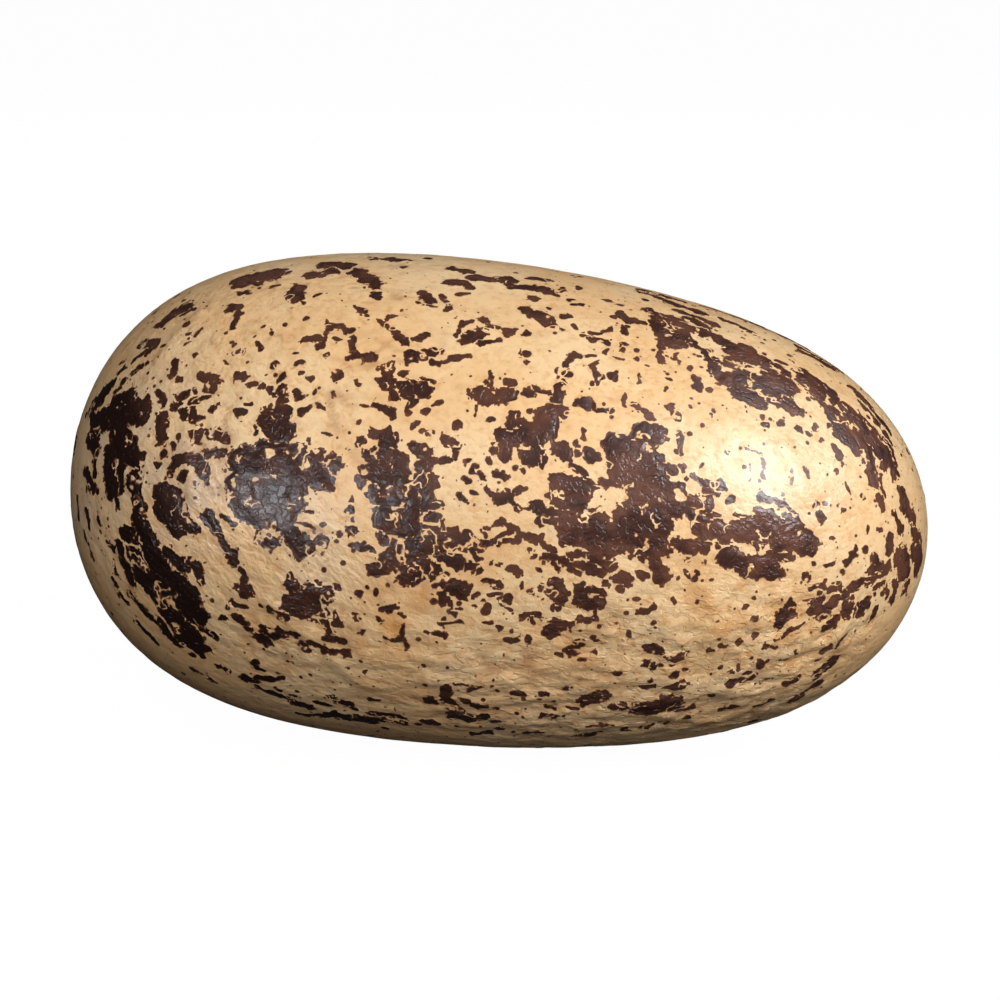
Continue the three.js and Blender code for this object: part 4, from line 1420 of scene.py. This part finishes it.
    def write_marking(
        self, mesh: bpy.types.Mesh, blots: LaidBlots, gaps: LaidBlots, middles: Array
    ) -> None:
        """Writes each square's own blot, and the gap that is nearest to its middle.

        Args:
            mesh: the egg's mesh.
            blots: the blots as they lie on the shell.
            gaps: the gaps, in the same way.
            middles: the middle of each square.
        """
        blot, _ = blots.deepest(middles)
        gap, _ = gaps.deepest(middles)
        self.write(mesh, Layer.BLOT_START, "FACE", blots.starts[blot])
        self.write(mesh, Layer.BLOT_RUN, "FACE", blots.runs[blot])
        self.write(mesh, Layer.BLOT_HALF, "FACE", blots.halves[blot])
        self.write(mesh, Layer.GAP_MIDDLE, "FACE", gaps.starts[gap])
        self.write(mesh, Layer.GAP_HALF, "FACE", gaps.halves[gap])


def heading(azimuth: float, elevation: float) -> Vector:
    """The way to something round the egg: azimuth 0 is in front of it, and 90 at its narrow end."""
    turn, rise = math.radians(azimuth), math.radians(elevation)
    return Vector((math.sin(turn) * math.cos(rise), -math.cos(turn) * math.cos(rise), math.sin(rise)))


@dataclass(frozen=True)
class Viewpoint:
    """The camera, where the photograph was taken from. Lengths are in millimetres."""

    azimuth: float = 9.47
    elevation: float = 15.0
    distance: float = 583.5
    lens: float = 100.0
    sensor: float = 36.0
    middle_height: float = 49.4
    aim_right: float = 1.02
    aim_up: float = 1.59

    def build(self) -> bpy.types.Object:
        """Makes the camera and gives it to the scene.

        Returns:
            The camera.
        """
        back = heading(self.azimuth, self.elevation)
        right = Vector((0.0, 0.0, 1.0)).cross(back).normalized()
        upward = back.cross(right)
        aim = Vector((0.0, 0.0, self.middle_height)) + right * self.aim_right + upward * self.aim_up
        data = bpy.data.cameras.new("camera")
        data.lens, data.sensor_width = self.lens, self.sensor
        camera = bpy.data.objects.new("camera", data)
        camera.location = (aim + back * self.distance) * MM
        camera.rotation_euler = back.to_track_quat("Z", "Y").to_euler()
        bpy.context.scene.collection.objects.link(camera)
        bpy.context.scene.camera = camera
        return camera


@dataclass(frozen=True)
class Softbox:
    """A soft lamp that faces the egg, in metres and watts.

    It either gives light, or only shows in the gloss, in a slightly blue cast.
    """

    name: str
    azimuth: float
    elevation: float
    distance: float
    width: float
    height: float
    power: float
    gleams: bool = False
    gleam_cast: tuple[float, float, float] = (0.84, 0.92, 1.0)

    def build(self, middle: Vector) -> bpy.types.Object:
        """Makes the lamp, turned to the egg's middle.

        Args:
            middle: the egg's middle.

        Returns:
            The lamp.
        """
        data = bpy.data.lights.new(self.name, "AREA")
        data.shape, data.energy = "RECTANGLE", self.power
        data.size, data.size_y = self.width, self.height
        if self.gleams:
            data.color = self.gleam_cast
        lamp = bpy.data.objects.new(self.name, data)
        away = heading(self.azimuth, self.elevation)
        lamp.location = middle + away * self.distance
        lamp.rotation_euler = away.to_track_quat("Z", "Y").to_euler()
        lamp.visible_camera = False
        lamp.visible_glossy = self.gleams
        lamp.visible_diffuse = not self.gleams
        bpy.context.scene.collection.objects.link(lamp)
        return lamp


@dataclass
class Studio:
    """A nearly white floor, a white backdrop and soft lamps. Lengths are in metres.

    A lamp's numbers are its azimuth, elevation, distance, width, height and power.
    """

    floor_radius: float = 6.0
    floor_sides: int = 96
    floor_drop: float = 0.0003
    floor_glow: float = 1.02
    floor_glow_share: float = 0.96
    dim_below: tuple[int, int, int] = (42, 30, 20)
    dim_above: tuple[int, int, int] = (80, 80, 84)
    dim_gloss: tuple[int, int, int] = (30, 30, 31)
    middle_height: float = 0.05
    lamps: tuple[Softbox, ...] = (
        Softbox("key", 67.0, 32.0, 0.9, 0.46, 0.42, 5.2),
        Softbox("front", 7.0, 29.0, 1.1, 0.8, 0.6, 8.0),
        Softbox("low", 48.0, 2.0, 0.9, 0.5, 0.4, 1.1),
        Softbox("side", -90.0, 45.0, 1.1, 0.8, 0.6, 0.6),
        Softbox("rear", 195.0, 34.0, 1.1, 0.8, 0.6, 2.4),
        Softbox("right_gleam", 60.0, 35.0, 0.9, 0.4, 0.48, 6.4, gleams=True),
        Softbox("left_gleam", -25.0, 7.0, 0.9, 0.2, 0.34, 1.7, gleams=True),
        Softbox("haze", 82.0, 48.0, 1.1, 1.4, 1.0, 4.2, gleams=True),
    )

    def build(self) -> None:
        """Makes the floor, the backdrop and the lamps."""
        self.floor()
        self.backdrop()
        middle = Vector((0.0, 0.0, self.middle_height))
        for lamp in self.lamps:
            lamp.build(middle)

    def floor(self) -> bpy.types.Object:
        """A wide disc just under the egg, which shows a soft shadow and throws no light on it.

        Returns:
            The floor.
        """
        turns = np.linspace(0.0, 2.0 * math.pi, self.floor_sides, endpoint=False)
        rim = np.stack([np.cos(turns), np.sin(turns)], axis=1) * self.floor_radius
        corners = np.column_stack([rim, np.full(len(turns), -self.floor_drop)])
        mesh = bpy.data.meshes.new("floor")
        mesh.from_pydata(corners.tolist(), [], [list(range(len(turns)))])
        floor = bpy.data.objects.new("floor", mesh)
        bpy.context.scene.collection.objects.link(floor)
        floor.visible_diffuse = floor.visible_glossy = floor.visible_shadow = False
        material = bpy.data.materials.new("floor")
        material.use_nodes = True
        graph = Graph(material.node_tree)
        paint = graph.node("ShaderNodeBsdfDiffuse", {"Color": tint(250, 249, 247)})
        white = tint(255, 255, 255)
        glow = graph.node("ShaderNodeEmission", {"Color": white, "Strength": self.floor_glow})
        shares = {0: self.floor_glow_share, 1: paint.outputs[0], 2: glow.outputs[0]}
        both = graph.node("ShaderNodeMixShader", shares)
        graph.node("ShaderNodeOutputMaterial", {"Surface": both.outputs[0]})
        mesh.materials.append(material)
        return floor

    def backdrop(self) -> None:
        """A white surrounding for the camera, and a dim one for the egg, darker below and in the gloss."""
        world = bpy.data.worlds.new("studio")
        world.use_nodes = True
        bpy.context.scene.world = world
        graph = Graph(world.node_tree)
        way = graph.node("ShaderNodeTexCoord", {}).outputs["Generated"]
        height = graph.node("ShaderNodeSeparateXYZ", {0: way}).outputs[2]
        above = graph.step(height, low=-0.5, high=0.7)
        soft = graph.mix(above, tint(*self.dim_below), tint(*self.dim_above))
        paths = graph.node("ShaderNodeLightPath", {}).outputs
        dim = graph.mix(paths["Is Glossy Ray"], soft, tint(*self.dim_gloss))
        seen = graph.mix(paths["Is Camera Ray"], dim, tint(255, 255, 255))
        light = graph.node("ShaderNodeBackground", {0: seen})
        graph.node("ShaderNodeOutputWorld", {"Surface": light.outputs[0]})
        bpy.context.scene.view_settings.view_transform = "Standard"


def corners(box: tuple[object, object]) -> list[list[float]]:
    """A box's lowest and highest corner as plain lists of numbers."""
    return [[float(value) for value in corner] for corner in box]


def main() -> None:
    """Builds the camera, the egg and the studio, and logs the camera's place and the egg's number of
    squares.
    """
    logging.basicConfig(level=logging.INFO, format="%(name)s: %(message)s")
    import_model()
    camera = Viewpoint().build()
    LOG.info("camera at %s", [round(value, 4) for value in camera.location])
    egg = FossilEgg().build()
    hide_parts("egg")
    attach(egg, "root")
    LOG.info("egg of %d squares", len(egg.data.polygons))
    Studio().build()
    LOG.info("studio ready")


if __name__ == "__main__":
    main()
